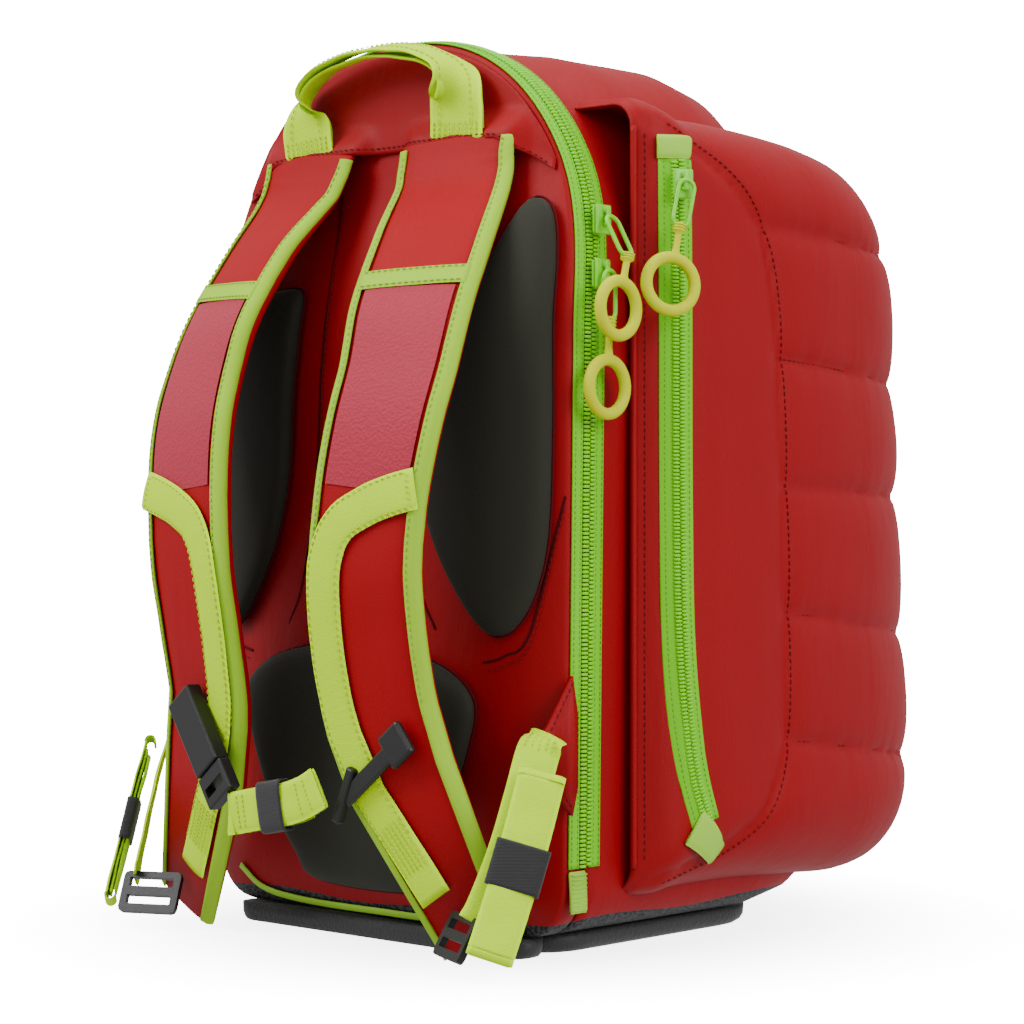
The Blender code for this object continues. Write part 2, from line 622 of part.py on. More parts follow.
# ---------------------------------------------------------------- zip sliders and their pulls
def pull_set(tag, anchor, sign, tab_drop, tab_lean, ring_drop, yaw, swing=0.0):
    """A slider body, its hinged loop and the soft ring pull that hangs from it.
    anchor is the slider's middle on the coil; yaw turns the set about Z to face along the panel."""
    turn = Matrix.Rotation(yaw, 4, "Z")
    here = Matrix.Translation(Vector(anchor)) @ turn
    out = sign

    def at(n, y, z):
        return here @ Vector((out * n, y, z))

    slider = block("slider_" + tag, at(0.0030, 0, 0), (0.0048, 0.0120, 0.0170), ZIPGREEN, rot=(0, 0, yaw), bevel=0.0010)
    bail = block("bail_" + tag, at(0.0061, 0, 0.0030), (0.0031, 0.0028, 0.0080), ZIPGREEN, rot=(0, 0, yaw), bevel=0.0008)
    join_union(slider, bail)
    # loop: its own plane is spanned by Y and the direction it hangs in
    pivot = at(0.0100, 0, 0.0010)
    empty = bpy.data.objects.new("pivot_" + tag, None)
    PACK.objects.link(empty)
    tilt = Matrix.Rotation(out * -tab_lean, 4, "Y")
    basis = Matrix(((0, 0, 1, 0), (1, 0, 0, 0), (0, 1, 0, 0), (0, 0, 0, 1)))
    local = turn @ tilt @ Matrix.Rotation(out * swing, 4, "X")
    centre = Matrix.Translation(pivot) @ local @ Matrix.Translation(Vector((0, 0, -tab_drop / 2 + 0.002)))
    tab = plate("pull_loop_" + tag, stadium(0.0062, tab_drop / 2), [stadium(0.0036, tab_drop / 2 - 0.0026, 6)], 0.0020, centre @ basis, ZIPGREEN)
    # ring: a small eye round the loop's lower bar, a stem and the finger ring, in a vertical plane
    eye = centre @ Vector((0, 0, -tab_drop / 2 + 0.0013))
    stem_top = eye + Vector((0, 0, -0.0030))
    ring_mid = Vector((eye.x, eye.y, eye.z)) + Vector((0, ring_drop[0], ring_drop[1]))
    work = bmesh.new()

    def torus(major, minor, n_major, n_minor, matrix):
        grid = []
        for i in range(n_major):
            a = 2 * math.pi * i / n_major
            grid.append([work.verts.new(matrix @ Vector(((major + minor * math.cos(b)) * math.cos(a), (major + minor * math.cos(b)) * math.sin(a), minor * math.sin(b)))) for b in (2 * math.pi * j / n_minor for j in range(n_minor))])
        for i in range(n_major):
            for j in range(n_minor):
                work.faces.new((grid[i][j], grid[(i + 1) % n_major][j], grid[(i + 1) % n_major][(j + 1) % n_minor], grid[i][(j + 1) % n_minor]))

    ring_plane = Matrix.Translation(ring_mid) @ turn @ Matrix.Rotation(math.pi / 2, 4, "Y")
    torus(RING_R, RING_TUBE, 24, 8, ring_plane)
    bmesh.ops.recalc_face_normals(work, faces=work.faces)
    ring_mesh = bpy.data.meshes.new("ring_pull_" + tag)
    work.to_mesh(ring_mesh)
    work.free()
    ring = add("ring_pull_" + tag, ring_mesh, SILICONE, 0.5)
    # eye torus: ring round the bar, its plane at right angles to the bar (bar runs along Y)
    work = bmesh.new()
    eye_plane = Matrix.Translation(eye) @ turn @ Matrix.Rotation(math.pi / 2, 4, "X")
    torus(0.0042, 0.0013, 12, 6, eye_plane)
    bmesh.ops.recalc_face_normals(work, faces=work.faces)
    eye_mesh = bpy.data.meshes.new("eye_" + tag)
    work.to_mesh(eye_mesh)
    work.free()
    eye_obj = add("eye_" + tag, eye_mesh, SILICONE, where=CUTTERS)
    # stem from the eye to the rim of the ring
    direction = (ring_mid - eye)
    length = direction.length
    direction.normalize()
    a, b = eye + direction * 0.0040, eye + direction * (length - RING_R)
    stem_mesh = bpy.data.meshes.new("stem_" + tag)
    work = bmesh.new()
    bmesh.ops.create_cone(work, cap_ends=True, segments=8, radius1=0.0018, radius2=0.0022, depth=(b - a).length)
    work.to_mesh(stem_mesh)
    work.free()
    stem = add("stem_" + tag, stem_mesh, SILICONE, where=CUTTERS)
    stem.matrix_world = Matrix.Translation((a + b) / 2) @ direction.to_track_quat("Z", "Y").to_matrix().to_4x4()
    join_union(ring, eye_obj, stem)
    for piece, origin in ((slider, Vector(anchor)), (tab, pivot), (ring, eye)):
        apply_all(piece)
        piece.data.transform(piece.matrix_world)
        piece.matrix_world = Matrix.Identity(4)
        piece.data.transform(Matrix.Translation(-origin))
        piece.location = origin
    bpy.data.objects.remove(empty, do_unlink=True)
    return slider, tab, ring, pivot, eye


SLIDER_SETS = {}
SLIDER_SETS["main_upper"] = pull_set("main_upper", (0.1497, 0.0080, 0.4180), 1, 0.029, math.radians(30), (-0.008, -0.0300), 0.0)
SLIDER_SETS["main_lower"] = pull_set("main_lower", (0.1532, 0.0033, 0.3870), 1, 0.030, 0.0, (-0.002, -0.0380), 0.0)

# ---------------------------------------------------------------- pocket zips
POCKET_LINE = smooth_path([(0.0540, 0.4550), (0.0545, 0.3740), (0.0548, 0.2600), (0.0565, 0.1740), (0.0630, 0.1110), (0.0740, 0.0740)], 18)
POCKET_YAW = math.radians(24)
for side, sign in (("right", 1), ("left", -1)):
    normal = np.array([sign * math.cos(POCKET_YAW), -math.sin(POCKET_YAW), 0])
    along = np.array([sign * math.sin(POCKET_YAW), math.cos(POCKET_YAW), 0])

    def surface(y, z):
        return np.array([sign * outer_half_width(y), y, z])

    def chord(y, reach=0.0112):
        """Direction across the tape, and how far the pocket bulges past a flat tape there."""
        low, high = outer_half_width(y - reach), outer_half_width(y + reach)
        across = np.array([sign * (high - low), 2 * reach, 0])
        return across / np.linalg.norm(across), outer_half_width(y) - (low + high) / 2

    path = np.array([surface(y, z) for y, z in POCKET_LINE])
    tangent = np.gradient(path, axis=0)
    tangent /= np.linalg.norm(tangent, axis=1)[:, None]
    rings = []
    section = [(-0.0105, 0.0), (-0.0105, 0.0010), (-0.0045, 0.0010), (-0.0036, 0.0028), (0.0036, 0.0028), (0.0045, 0.0010), (0.0105, 0.0010), (0.0105, 0.0)]
    for p, t in zip(path, tangent):
        w, _ = chord(p[1])
        w = w - t * np.dot(w, t)
        w /= np.linalg.norm(w)
        n = np.cross(t, w)
        n = n if n @ normal > 0 else -n
        rings.append([p + w * a + n * (b + 0.0012) for a, b in section])
    add("pocket_zip_" + side, loft("pocket_zip_" + side, rings, True, True), ZIPGREEN, 0.5)
    for tag, end, inner in (("top", 0, 1), ("bottom", -1, -2)):
        # a folded tab sewn over each end of the pocket zip, standing just off the tape's end
        t = path[end] - path[inner]
        t /= np.linalg.norm(t)
        w, _ = chord(path[end][1])
        w = w - t * np.dot(w, t)
        w /= np.linalg.norm(w)
        a, b = path[end] + t * 0.0006 + normal * 0.0016, path[end] + t * 0.0186 + normal * 0.0016
        if tag == "top":
            b = path[end] + t * 0.0130 + normal * 0.0012
        band("pocket_zip_tab_%s_%s" % (tag, side), [a, (a + b) / 2, b], w if np.cross(b - a, w) @ normal > 0 else -w, 0.0215, 0.0016, LIME)
    anchor = surface(0.0542, 0.4400) + normal * 0.0040
    SLIDER_SETS["pocket_" + side] = pull_set("pocket_" + side, tuple(anchor), sign, 0.030, math.radians(6), (-0.0080, -0.0335), -sign * POCKET_YAW, math.radians(-14) * sign)

# ---------------------------------------------------------------- chest strap
RAIL_MID = 0.112
right_on = on_strap(1, RAIL_MID, -0.27, 0.0)
left_on = on_strap(-1, RAIL_MID + 0.016, -0.27, 0.0)
slider_tilt = math.radians(-38)
sr = block("sternum_slider_right", (right_on[0] + 0.002, right_on[1] - 0.0094, right_on[2] + 0.002), (0.052, 0.0038, 0.0105), BLACK, rot=(0, slider_tilt, 0), bevel=0.0014, segments=2)
sr_knob = block("sternum_knob", (right_on[0] + 0.0225, right_on[1] - 0.0094, right_on[2] + 0.0190), (0.0190, 0.0050, 0.0210), BLACK, rot=(0, slider_tilt, 0), bevel=0.0020, segments=2)
sr_lug = block("sternum_lug", (right_on[0] - 0.0180, right_on[1] - 0.0096, right_on[2] - 0.0115), (0.0060, 0.0060, 0.0340), BLACK, rot=(0, math.radians(22), 0), bevel=0.0014, segments=2)
join_union(sr, sr_knob, sr_lug)
apply_all(sr)
slider_origin = Vector(right_on)
sr.data.transform(sr.matrix_world)
sr.matrix_world = Matrix.Translation(slider_origin)
sr.data.transform(Matrix.Translation(-slider_origin))

SOCKET_A = Vector((-0.0790, -0.1020, 0.1450))
SOCKET_B = Vector((-0.0480, -0.1060, 0.1040))
PLUG_B = Vector((-0.0300, -0.1080, 0.0800))
axis = (SOCKET_B - SOCKET_A).normalized()


def along_axis(name, a, b, wide, thick, rgb, bevel=0.0012, where=PACK):
    """A bevelled block from a to b, its width across the buckle's face."""
    x = (b - a).normalized()
    n = Vector((0.10, 1, 0))
    n = (n - x * n.dot(x)).normalized()
    w = x.cross(n)
    obj = add(name, box_mesh(name, ((b - a).length, thick, wide), bevel, 2), rgb, 0.4, where)
    obj.matrix_world = Matrix((x.to_tuple() + (0,), n.to_tuple() + (0,), w.to_tuple() + (0,), (0, 0, 0, 1))).transposed()
    obj.location = (a + b) / 2
    return obj


socket = along_axis("sternum_socket", SOCKET_A, SOCKET_B, 0.0240, 0.0100, BLACK)
bore = along_axis("socket_bore", SOCKET_B - axis * 0.020, SOCKET_B + axis * 0.004, 0.0170, 0.0056, BLACK, 0.0004, CUTTERS)
bpy.context.view_layer.update()
boolean(socket, bore)
plug = along_axis("sternum_plug", SOCKET_B + axis * 0.0006, SOCKET_B + axis * 0.0210, 0.0260, 0.0080, BLACK)
tongue = along_axis("plug_tongue", SOCKET_B - axis * 0.0180, SOCKET_B + axis * 0.0060, 0.0150, 0.0040, BLACK, 0.0006, CUTTERS)
slot = along_axis("plug_slot", SOCKET_B + axis * 0.0090, SOCKET_B + axis * 0.0150, 0.0190, 0.0200, BLACK, 0.0, CUTTERS)
bpy.context.view_layer.update()
boolean(plug, tongue, "UNION")
boolean(plug, slot)
for piece in (socket, plug):
    apply_all(piece)
    origin = piece.location.copy()
    piece.data.transform(piece.matrix_world)
    piece.matrix_world = Matrix.Translation(origin)
    piece.data.transform(Matrix.Translation(-origin))

WEB_FROM = Vector((-0.0255, -0.1070, 0.0800))
WEB_TO = Vector((0.0400, -0.1035, 0.0980))
keeper_a, keeper_b = Vector((0.0060, -0.1070, 0.0860)), Vector((0.0230, -0.1070, 0.0890))
band("sternum_webbing", smooth_path([WEB_FROM, (-0.008, -0.1065, 0.0835), (0.0145, -0.1045, 0.0875), (0.030, -0.1040, 0.0925), WEB_TO], 12),
     (0, 0, 1), WEB_W, 0.0060, NEON, lift=-0.0030)
keep = block("sternum_keeper", (0.0145, -0.1047, 0.0875), (0.0180, 0.0120, 0.0310), BLACK, rot=(0, math.radians(-12), 0), bevel=0.0010)
keep_hole = block("keeper_hole", (0.0145, -0.1047, 0.0875), (0.0300, 0.0088, 0.0278), BLACK, rot=(0, math.radians(-12), 0), bevel=0.0, where=CUTTERS)
boolean(keep, keep_hole)

# ---------------------------------------------------------------- lower adjusters
for side, sign in (("right", 1), ("left", -1)):
    # triangular wing sewn into the side seam of the back half
    tri = [(-0.0175, 0.160), (-0.0175, 0.086), (-0.0430, 0.114), (-0.0400, 0.126)]
    a = [(sign * 0.1530, y, z) for y, z in tri]
    b = [(sign * 0.1512, y, z) for y, z in tri]
    add("strap_wing_" + side, loft("strap_wing_" + side, [a, b], True, True), RED, 0.5)
    # webbing from the wing to the buckle at the end of the strap
    path = smooth_path([(sign * 0.1520, -0.0440, 0.1240), (sign * 0.1530, -0.0540, 0.1000), (sign * 0.1510, -0.0660, 0.0680), (sign * 0.1470, -0.0780, 0.0390)], 9)
    side_dir = np.array([sign * 0.62, 0.72, 0.30])
    band("adjuster_web_" + side, path, side_dir, WEB_W, WEB_T, NEON)
    # folded tail held by an elastic keeper
    tail = smooth_path([(sign * 0.1655, -0.0560, 0.1080), (sign * 0.1650, -0.0680, 0.0760), (sign * 0.1630, -0.0800, 0.0440), (sign * 0.1610, -0.0910, 0.0170)], 8)
    band("adjuster_tail_" + side, tail, side_dir, 0.0270, 0.0050, NEON, lift=-0.0025)
    mid = Vector(tail[4])
    x = (Vector(tail[5]) - Vector(tail[3])).normalized()
    w = Vector(side_dir)
    w = (w - x * w.dot(x)).normalized()
    n = w.cross(x)
    turn = Matrix((x.to_tuple() + (0,), n.to_tuple() + (0,), w.to_tuple() + (0,), (0, 0, 0, 1))).transposed()
    keeper = add("adjuster_keeper_" + side, box_mesh("adjuster_keeper_" + side, (0.0260, 0.0088, 0.0310), 0.0008, 1), BLACK, 0.8)
    keeper.matrix_world = Matrix.Translation(mid) @ turn
    hole = add("adjuster_hole_" + side, box_mesh("adjuster_hole_" + side, (0.0400, 0.0062, 0.0278)), BLACK, where=CUTTERS)
    hole.matrix_world = Matrix.Translation(mid) @ turn
    bpy.context.view_layer.update()
    boolean(keeper, hole)
    # three-bar buckle hanging from the strap end
    basis = Matrix.Translation(Vector((sign * 0.1300, -0.0850, 0.0215))) @ Matrix.Rotation(sign * math.radians(-25), 4, "Z") @ Matrix.Rotation(math.radians(62), 4, "X")
    lock = plate("ladder_lock_" + side, rect(0.0190, 0.0130, corner=0.003), [rect(0.0145, 0.0028, 0, 0.0062), rect(0.0145, 0.0028, 0, -0.0050)], 0.0040, basis, BLACK)
    lock.data.transform(lock.matrix_world)
    origin = basis @ Vector((0, 0.0115, 0))
    lock.matrix_world = Matrix.Translation(origin)
    lock.data.transform(Matrix.Translation(-origin))

# ---------------------------------------------------------------- parents at the joints
harness = bpy.data.objects.new("harness", None)
front_case = bpy.data.objects.new("front_case", None)
PACK.objects.link(harness)
PACK.objects.link(front_case)
FRONT = ("front_shell", "front_cover", "side_panel_", "main_zip_front", "pocket_zip_", "base_front", "slider_pocket", "pull_loop_pocket", "ring_pull_pocket")
for obj in list(PACK.objects):
    if obj.type != "EMPTY":
        obj.parent = front_case if obj.name.startswith(FRONT) else harness
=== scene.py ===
"""Looks of the trauma backpack: sewn panels, quilting, zips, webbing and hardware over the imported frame."""

import math
import random

import bmesh
import bpy
import numpy as np
from mathutils import Matrix, Vector, noise


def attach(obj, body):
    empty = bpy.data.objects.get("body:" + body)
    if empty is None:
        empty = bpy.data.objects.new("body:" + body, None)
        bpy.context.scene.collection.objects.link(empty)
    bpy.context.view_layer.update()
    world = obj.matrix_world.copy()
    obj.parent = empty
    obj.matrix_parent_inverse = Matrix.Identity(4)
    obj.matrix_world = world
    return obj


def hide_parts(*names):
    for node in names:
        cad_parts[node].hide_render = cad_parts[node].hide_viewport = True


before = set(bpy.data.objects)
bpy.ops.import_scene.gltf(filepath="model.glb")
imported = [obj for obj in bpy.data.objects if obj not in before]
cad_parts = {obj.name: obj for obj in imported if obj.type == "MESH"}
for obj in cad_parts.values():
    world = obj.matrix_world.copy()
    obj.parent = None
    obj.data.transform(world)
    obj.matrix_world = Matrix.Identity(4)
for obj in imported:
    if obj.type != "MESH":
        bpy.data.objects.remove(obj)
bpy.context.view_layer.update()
random.seed(7)
RNG = np.random.default_rng(7)

# ---------------------------------------------------------------- dimensions shared with the CAD
CASE_HALF_W, CASE_HALF_W_LOW, CASE_BOTTOM = 0.150, 0.146, 0.012
ARCH_Z, ARCH_RISE, ARCH_POWER, ARCH_POWER_FRONT = 0.350, 0.182, 2.3, 2.8
CORNER_R = 0.030
LEAN_Z, LEAN_H, LEAN = 0.350, 0.110, 0.0125
ZIP_GAP, BACK_EDGE, BACK_DOME, CASE_DEPTH = 0.0015, -0.0140, 0.020, 0.234
POCKET_REAR, PACK_FRONT, FRONT_SLOPE = 0.034, 0.317, 0.075


# ---------------------------------------------------------------- paths
def resample(points, count, closed=False):
    pts = np.array(points, float)
    if closed:
        pts = np.vstack([pts, pts[:1]])
    arc = np.concatenate([[0], np.cumsum(np.linalg.norm(np.diff(pts, axis=0), axis=1))])
    want = np.linspace(0, arc[-1], count + (1 if closed else 0))
    if closed:
        want = want[:-1]
    return np.stack([np.interp(want, arc, pts[:, k]) for k in range(pts.shape[1])], 1)


def smooth_path(points, count):
    p = np.array(points, float)
    p = np.vstack([2 * p[0] - p[1], p, 2 * p[-1] - p[-2]])
    out = []
    for i in range(1, len(p) - 2):
        for t in np.linspace(0, 1, 24, endpoint=False):
            a, b, c, d = p[i - 1], p[i], p[i + 1], p[i + 2]
            out.append(0.5 * ((2 * b) + (c - a) * t + (2 * a - 5 * b + 4 * c - d) * t**2 + (3 * b - a - 3 * c + d) * t**3))
    out.append(p[-2])
    return resample(out, count)


def unit(v):
    v = np.asarray(v, float)
    return v / np.maximum(np.linalg.norm(v, axis=-1, keepdims=True), 1e-12)


def lean(z):
    t = np.clip((np.asarray(z, float) - LEAN_Z) / LEAN_H, 0, 1)
    return LEAN * t * t * (3 - 2 * t)


def offset_closed(points, inset):
    if inset == 0:
        return points
    tangent = unit(np.roll(points, -1, 0) - np.roll(points, 1, 0))
    return points + inset * np.stack([-tangent[:, 1], tangent[:, 0]], 1)


def case_outline(count, power=ARCH_POWER, inset=0.0, bottom=CASE_BOTTOM, rise=ARCH_RISE, half=CASE_HALF_W):
    low = half - (CASE_HALF_W - CASE_HALF_W_LOW)
    pts = [(x, bottom) for x in np.linspace(0, low - CORNER_R, 12)]
    for t in np.linspace(-90, 0, 10)[1:]:
        pts.append((low - CORNER_R + CORNER_R * math.cos(math.radians(t)), bottom + CORNER_R + CORNER_R * math.sin(math.radians(t))))
    pts += [(low + (half - low) * s, bottom + CORNER_R + (ARCH_Z - bottom - CORNER_R) * s) for s in np.linspace(0, 1, 24)[1:]]
    for t in np.linspace(0, math.pi / 2, 90)[1:]:
        pts.append((half * math.cos(t) ** (2 / power), ARCH_Z + rise * math.sin(t) ** (2 / power)))
    right = np.array(pts)
    right[-1, 0] = 0.0
    both = np.vstack([right, (right * (-1, 1))[::-1][1:-1]])
    return offset_closed(resample(both, count, closed=True), inset)


OUTLINE = case_outline(500)


def depth_inside(x, z):
    return np.min(np.hypot(OUTLINE[:, 0] - x, OUTLINE[:, 1] - z))


def crown(z):
    return float(np.interp(z, [0.0, 0.06, 0.15, 0.33, 0.40, 0.44, 0.46, 0.53], [0.55, 0.85, 1.0, 1.0, 0.65, 0.35, 0.25, 0.1]))


def back_y(x, z):
    return BACK_EDGE - BACK_DOME * (1 - math.exp(-depth_inside(x, z) / 0.030)) * crown(z) + float(lean(z))


def wobble(p, scale, seed=0.0):
    return noise.noise(Vector((p[0] * scale + seed, p[1] * scale - seed, p[2] * scale + 2 * seed)))


# ---------------------------------------------------------------- materials
def nodes_of(name):
    mat = bpy.data.materials.new(name)
    mat.use_nodes = True
    tree = mat.node_tree
    return mat, tree, tree.nodes["Principled BSDF"]


def link(tree, a, b):
    tree.links.new(a, b)


def math_node(tree, op, a, b=None):
    n = tree.nodes.new("ShaderNodeMath")
    n.operation = op
    for k, v in enumerate((a, b)):
        if v is None:
            continue
        if isinstance(v, (int, float)):
            n.inputs[k].default_value = v
        else:
            link(tree, v, n.inputs[k])
    return n.outputs[0]


def fabric(name, rgb, rough=0.5, spec=0.4, coat=0.0, sheen=0.0, weave=900.0, weave_amp=0.00012, wrinkle=0.0, wrinkle_scale=9.0, vary=0.06, metallic=0.0, rib=None, low_black=False, sheen_tint=(1, 1, 1)):
    """A woven or coated cloth: base colour with slight variation, a fine weave bump and soft wrinkles."""
    mat, tree, bsdf = nodes_of(name)
    new = tree.nodes.new
    coords = new("ShaderNodeTexCoord").outputs["Object"]
    bsdf.inputs["Roughness"].default_value = rough
    bsdf.inputs["Specular IOR Level"].default_value = spec
    bsdf.inputs["Coat Weight"].default_value = coat
    bsdf.inputs["Coat Roughness"].default_value = 0.35
    bsdf.inputs["Sheen Weight"].default_value = sheen
    bsdf.inputs["Sheen Tint"].default_value = (*sheen_tint, 1)
    bsdf.inputs["Metallic"].default_value = metallic
    big = new("ShaderNodeTexNoise")
    big.inputs["Scale"].default_value = 14
    big.inputs["Detail"].default_value = 3
    link(tree, coords, big.inputs["Vector"])
    ramp = new("ShaderNodeMix")
    ramp.data_type = "RGBA"
    ramp.inputs[6].default_value = (*[c * (1 - vary) for c in rgb], 1)
    ramp.inputs[7].default_value = (*[min(1, c * (1 + vary)) for c in rgb], 1)
    link(tree, big.outputs["Fac"], ramp.inputs[0])
    colour = ramp.outputs[2]
    # weave: a fine Voronoi cell pattern, or ribbed bands along the given axis
    if rib is None:
        vor = new("ShaderNodeTexVoronoi")
        vor.inputs["Scale"].default_value = weave
        link(tree, coords, vor.inputs["Vector"])
        height = vor.outputs["Distance"]
    else:
        wave = new("ShaderNodeTexWave")
        wave.wave_type = "BANDS"
        wave.bands_direction = rib
        wave.inputs["Scale"].default_value = weave
        wave.inputs["Distortion"].default_value = 0.6
        wave.inputs["Detail Scale"].default_value = 60
        link(tree, coords, wave.inputs["Vector"])
        height = wave.outputs["Fac"]
    bump = new("ShaderNodeBump")
    bump.inputs["Strength"].default_value = 0.55
    bump.inputs["Distance"].default_value = weave_amp
    link(tree, height, bump.inputs["Height"])
    last = bump.outputs["Normal"]
    if wrinkle:
        mapping = new("ShaderNodeMapping")
        mapping.inputs["Scale"].default_value = (1.0, 1.0, 0.35)
        link(tree, coords, mapping.inputs["Vector"])
        wr = new("ShaderNodeTexNoise")
        wr.inputs["Scale"].default_value = wrinkle_scale * 4
        wr.inputs["Detail"].default_value = 4
        wr.inputs["Roughness"].default_value = 0.55
        wr.inputs["Distortion"].default_value = 0.6
        link(tree, mapping.outputs["Vector"], wr.inputs["Vector"])
        b2 = new("ShaderNodeBump")
        b2.inputs["Strength"].default_value = 0.7
        b2.inputs["Distance"].default_value = wrinkle
        link(tree, wr.outputs["Fac"], b2.inputs["Height"])
        link(tree, last, b2.inputs["Normal"])
        last = b2.outputs["Normal"]
    if low_black:
        sep = new("ShaderNodeSeparateXYZ")
        link(tree, coords, sep.inputs[0])
        s = math_node(tree, "SINE", math_node(tree, "MULTIPLY", math_node(tree, "ADD", sep.outputs[1], sep.outputs[0]), 46.0))
        edge = math_node(tree, "ADD", math_node(tree, "MULTIPLY", s, 0.0016), 0.0215)
        low = math_node(tree, "LESS_THAN", sep.outputs[2], edge)
        dots = new("ShaderNodeTexVoronoi")
        dots.inputs["Scale"].default_value = 420
        link(tree, coords, dots.inputs["Vector"])
        dot = math_node(tree, "GREATER_THAN", dots.outputs["Distance"], 0.5)
        dm = new("ShaderNodeMix")
        dm.data_type = "RGBA"
        dm.inputs[6].default_value = (0.008, 0.008, 0.009, 1)
        dm.inputs[7].default_value = (0.040, 0.040, 0.042, 1)
        link(tree, dot, dm.inputs[0])
        mx = new("ShaderNodeMix")
        mx.data_type = "RGBA"
        link(tree, low, mx.inputs[0])
        link(tree, colour, mx.inputs[6])
        link(tree, dm.outputs[2], mx.inputs[7])
        colour = mx.outputs[2]
    link(tree, colour, bsdf.inputs["Base Color"])
    link(tree, last, bsdf.inputs["Normal"])
    mat.diffuse_color = (*rgb, 1)
    return mat


RED = (0.235, 0.0, 0.003)
M = {}
M["red"] = fabric("red_coated", RED, 0.55, 0.14, 0.0, 0.0, 1500, 0.00010, 0.0022, 5.0, sheen_tint=(1, .45, .45))
M["red_low"] = fabric("red_coated_base", RED, 0.55, 0.14, 0.0, 0.0, 1500, 0.00010, 0.0022, 5.0, low_black=True, sheen_tint=(1, .45, .45))
M["red_strap"] = fabric("red_strap", (0.270, 0.0, 0.0035), 0.58, 0.12, 0.0, 0.0, 1300, 0.00012, 0.0012, 6.0, sheen_tint=(1, .45, .45))
M["red_quilt"] = fabric("red_quilt", (0.235, 0.0, 0.003), 0.53, 0.15, 0.0, 0.0, 1500, 0.00010, 0.0018, 6.0, sheen_tint=(1, .45, .45))
M["mesh"] = fabric("mesh_panel", (0.300, 0.012, 0.030), 0.6, 0.2, 0.0, 0.10, 520, 0.0005, 0.0, sheen_tint=(1, .6, .7))
M["pad"] = fabric("pad_knit", (0.0155, 0.0160, 0.0105), 0.72, 0.16, 0.0, 0.05, 1600, 0.00008, 0.0010, 5.0, sheen_tint=(.8, .8, .7))
M["base"] = fabric("base_weave", (0.010, 0.010, 0.011), 0.6, 0.4, 0.0, 0.1, 420, 0.0005)
M["neon"] = fabric("neon_webbing", (0.44, 0.70, 0.0), 0.70, 0.02, 0.0, 0.0, 700, 0.00030, 0.0008, 8.0, vary=0.04)
M["neon_thread"] = fabric("neon_thread", (0.40, 0.52, 0.0), 0.6, 0.3, 0.0, 0.0, 1500, 0.0001)
M["zip"] = fabric("zip_tape", (0.14, 0.50, 0.0), 0.62, 0.15, 0.0, 0.0, 800, 0.00020)
M["teeth"] = fabric("zip_teeth", (0.18, 0.58, 0.0), 0.42, 0.30, 0.0, 0.0, 2000, 0.00003)
M["lime"] = fabric("lime_binding", (0.28, 0.50, 0.02), 0.70, 0.05, 0.0, 0.0, 900, 0.00020, 0.0006, 9.0)
M["lime_bright"] = fabric("lime_trim", (0.28, 0.54, 0.035), 0.55, 0.2, 0.0, 0.0, 900, 0.00015, 0.0006, 9.0)
M["slider"] = fabric("slider_paint", (0.15, 0.55, 0.0), 0.34, 0.40, 0.05, 0.0, 2500, 0.00002)
M["silicone"] = fabric("silicone", (0.46, 0.50, 0.0), 0.50, 0.12, 0.0, 0.0, 2500, 0.00002)
M["black"] = fabric("black_plastic", (0.006, 0.006, 0.006), 0.42, 0.35, 0.0, 0.0, 900, 0.00010)
M["elastic"] = fabric("black_elastic", (0.012, 0.012, 0.013), 0.7, 0.3, 0.0, 0.15, 420, 0.0005, rib="Z")
M["thread"] = fabric("red_thread", (0.10, 0.0006, 0.0025), 0.6, 0.2, 0.0, 0.0, 2000, 0.00005)
M["thread_hi"] = fabric("red_thread_light", (0.38, 0.02, 0.03), 0.5, 0.4, 0.0, 0.0, 2000, 0.00005)
# seam lines: a dark red that paints the shade inside sewn seams
M["seam_shade"] = fabric("seam_shadow", (0.055, 0.001, 0.003), 0.8, 0.1, 0.0, 0.0, 2000, 0.00005)
M["lime_thread"] = fabric("lime_thread", (0.24, 0.42, 0.04), 0.6, 0.3, 0.0, 0.0, 2000, 0.00005)
M["zip_thread"] = fabric("zip_thread", (0.10, 0.36, 0.01), 0.6, 0.3, 0.0, 0.0, 2000, 0.00005)
M["lining"] = fabric("lining", (0.030, 0.031, 0.034), 0.65, 0.3, 0.0, 0.1, 900, 0.00012, 0.0012, 6.0)

COLLECTION = bpy.context.scene.collection


# ---------------------------------------------------------------- mesh makers
def make(name, verts, faces, mat, smooth=True):
    mesh = bpy.data.meshes.new(name)
    mesh.from_pydata([tuple(map(float, v)) for v in verts], [], faces)
    mesh.validate()
    work = bmesh.new()
    work.from_mesh(mesh)
    bmesh.ops.recalc_face_normals(work, faces=work.faces)
    work.to_mesh(mesh)
    work.free()
    if smooth:
        mesh.shade_smooth()
    mesh.materials.append(M[mat])
    obj = bpy.data.objects.new(name, mesh)
    COLLECTION.objects.link(obj)
    return obj


def grid_faces(rows, cols, wrap):
    out = []
    for r in range(rows - 1):
        for c in range(cols if wrap else cols - 1):
            d = (c + 1) % cols
            out.append((r * cols + c, r * cols + d, (r + 1) * cols + d, (r + 1) * cols + c))
    return out


def loft(name, rings, mat, cap0=True, cap1=True, smooth=True):
    rows, cols = len(rings), len(rings[0])
    verts = np.array(rings, float).reshape(-1, 3)
    faces = grid_faces(rows, cols, True)
    if cap0:
        faces.append(tuple(range(cols)))
    if cap1:
        faces.append(tuple(reversed(range((rows - 1) * cols, rows * cols))))
    return make(name, verts, faces, mat, smooth)


def frames(path, out):
    """Tangent, outward normal and width direction along a path; out gives the rough outward direction."""
    path = np.array(path, float)
    t = unit(np.gradient(path, axis=0))
    out = np.broadcast_to(np.array(out, float), path.shape)
    n = unit(out - t * np.sum(out * t, 1, keepdims=True))
    return t, n, np.cross(t, n)


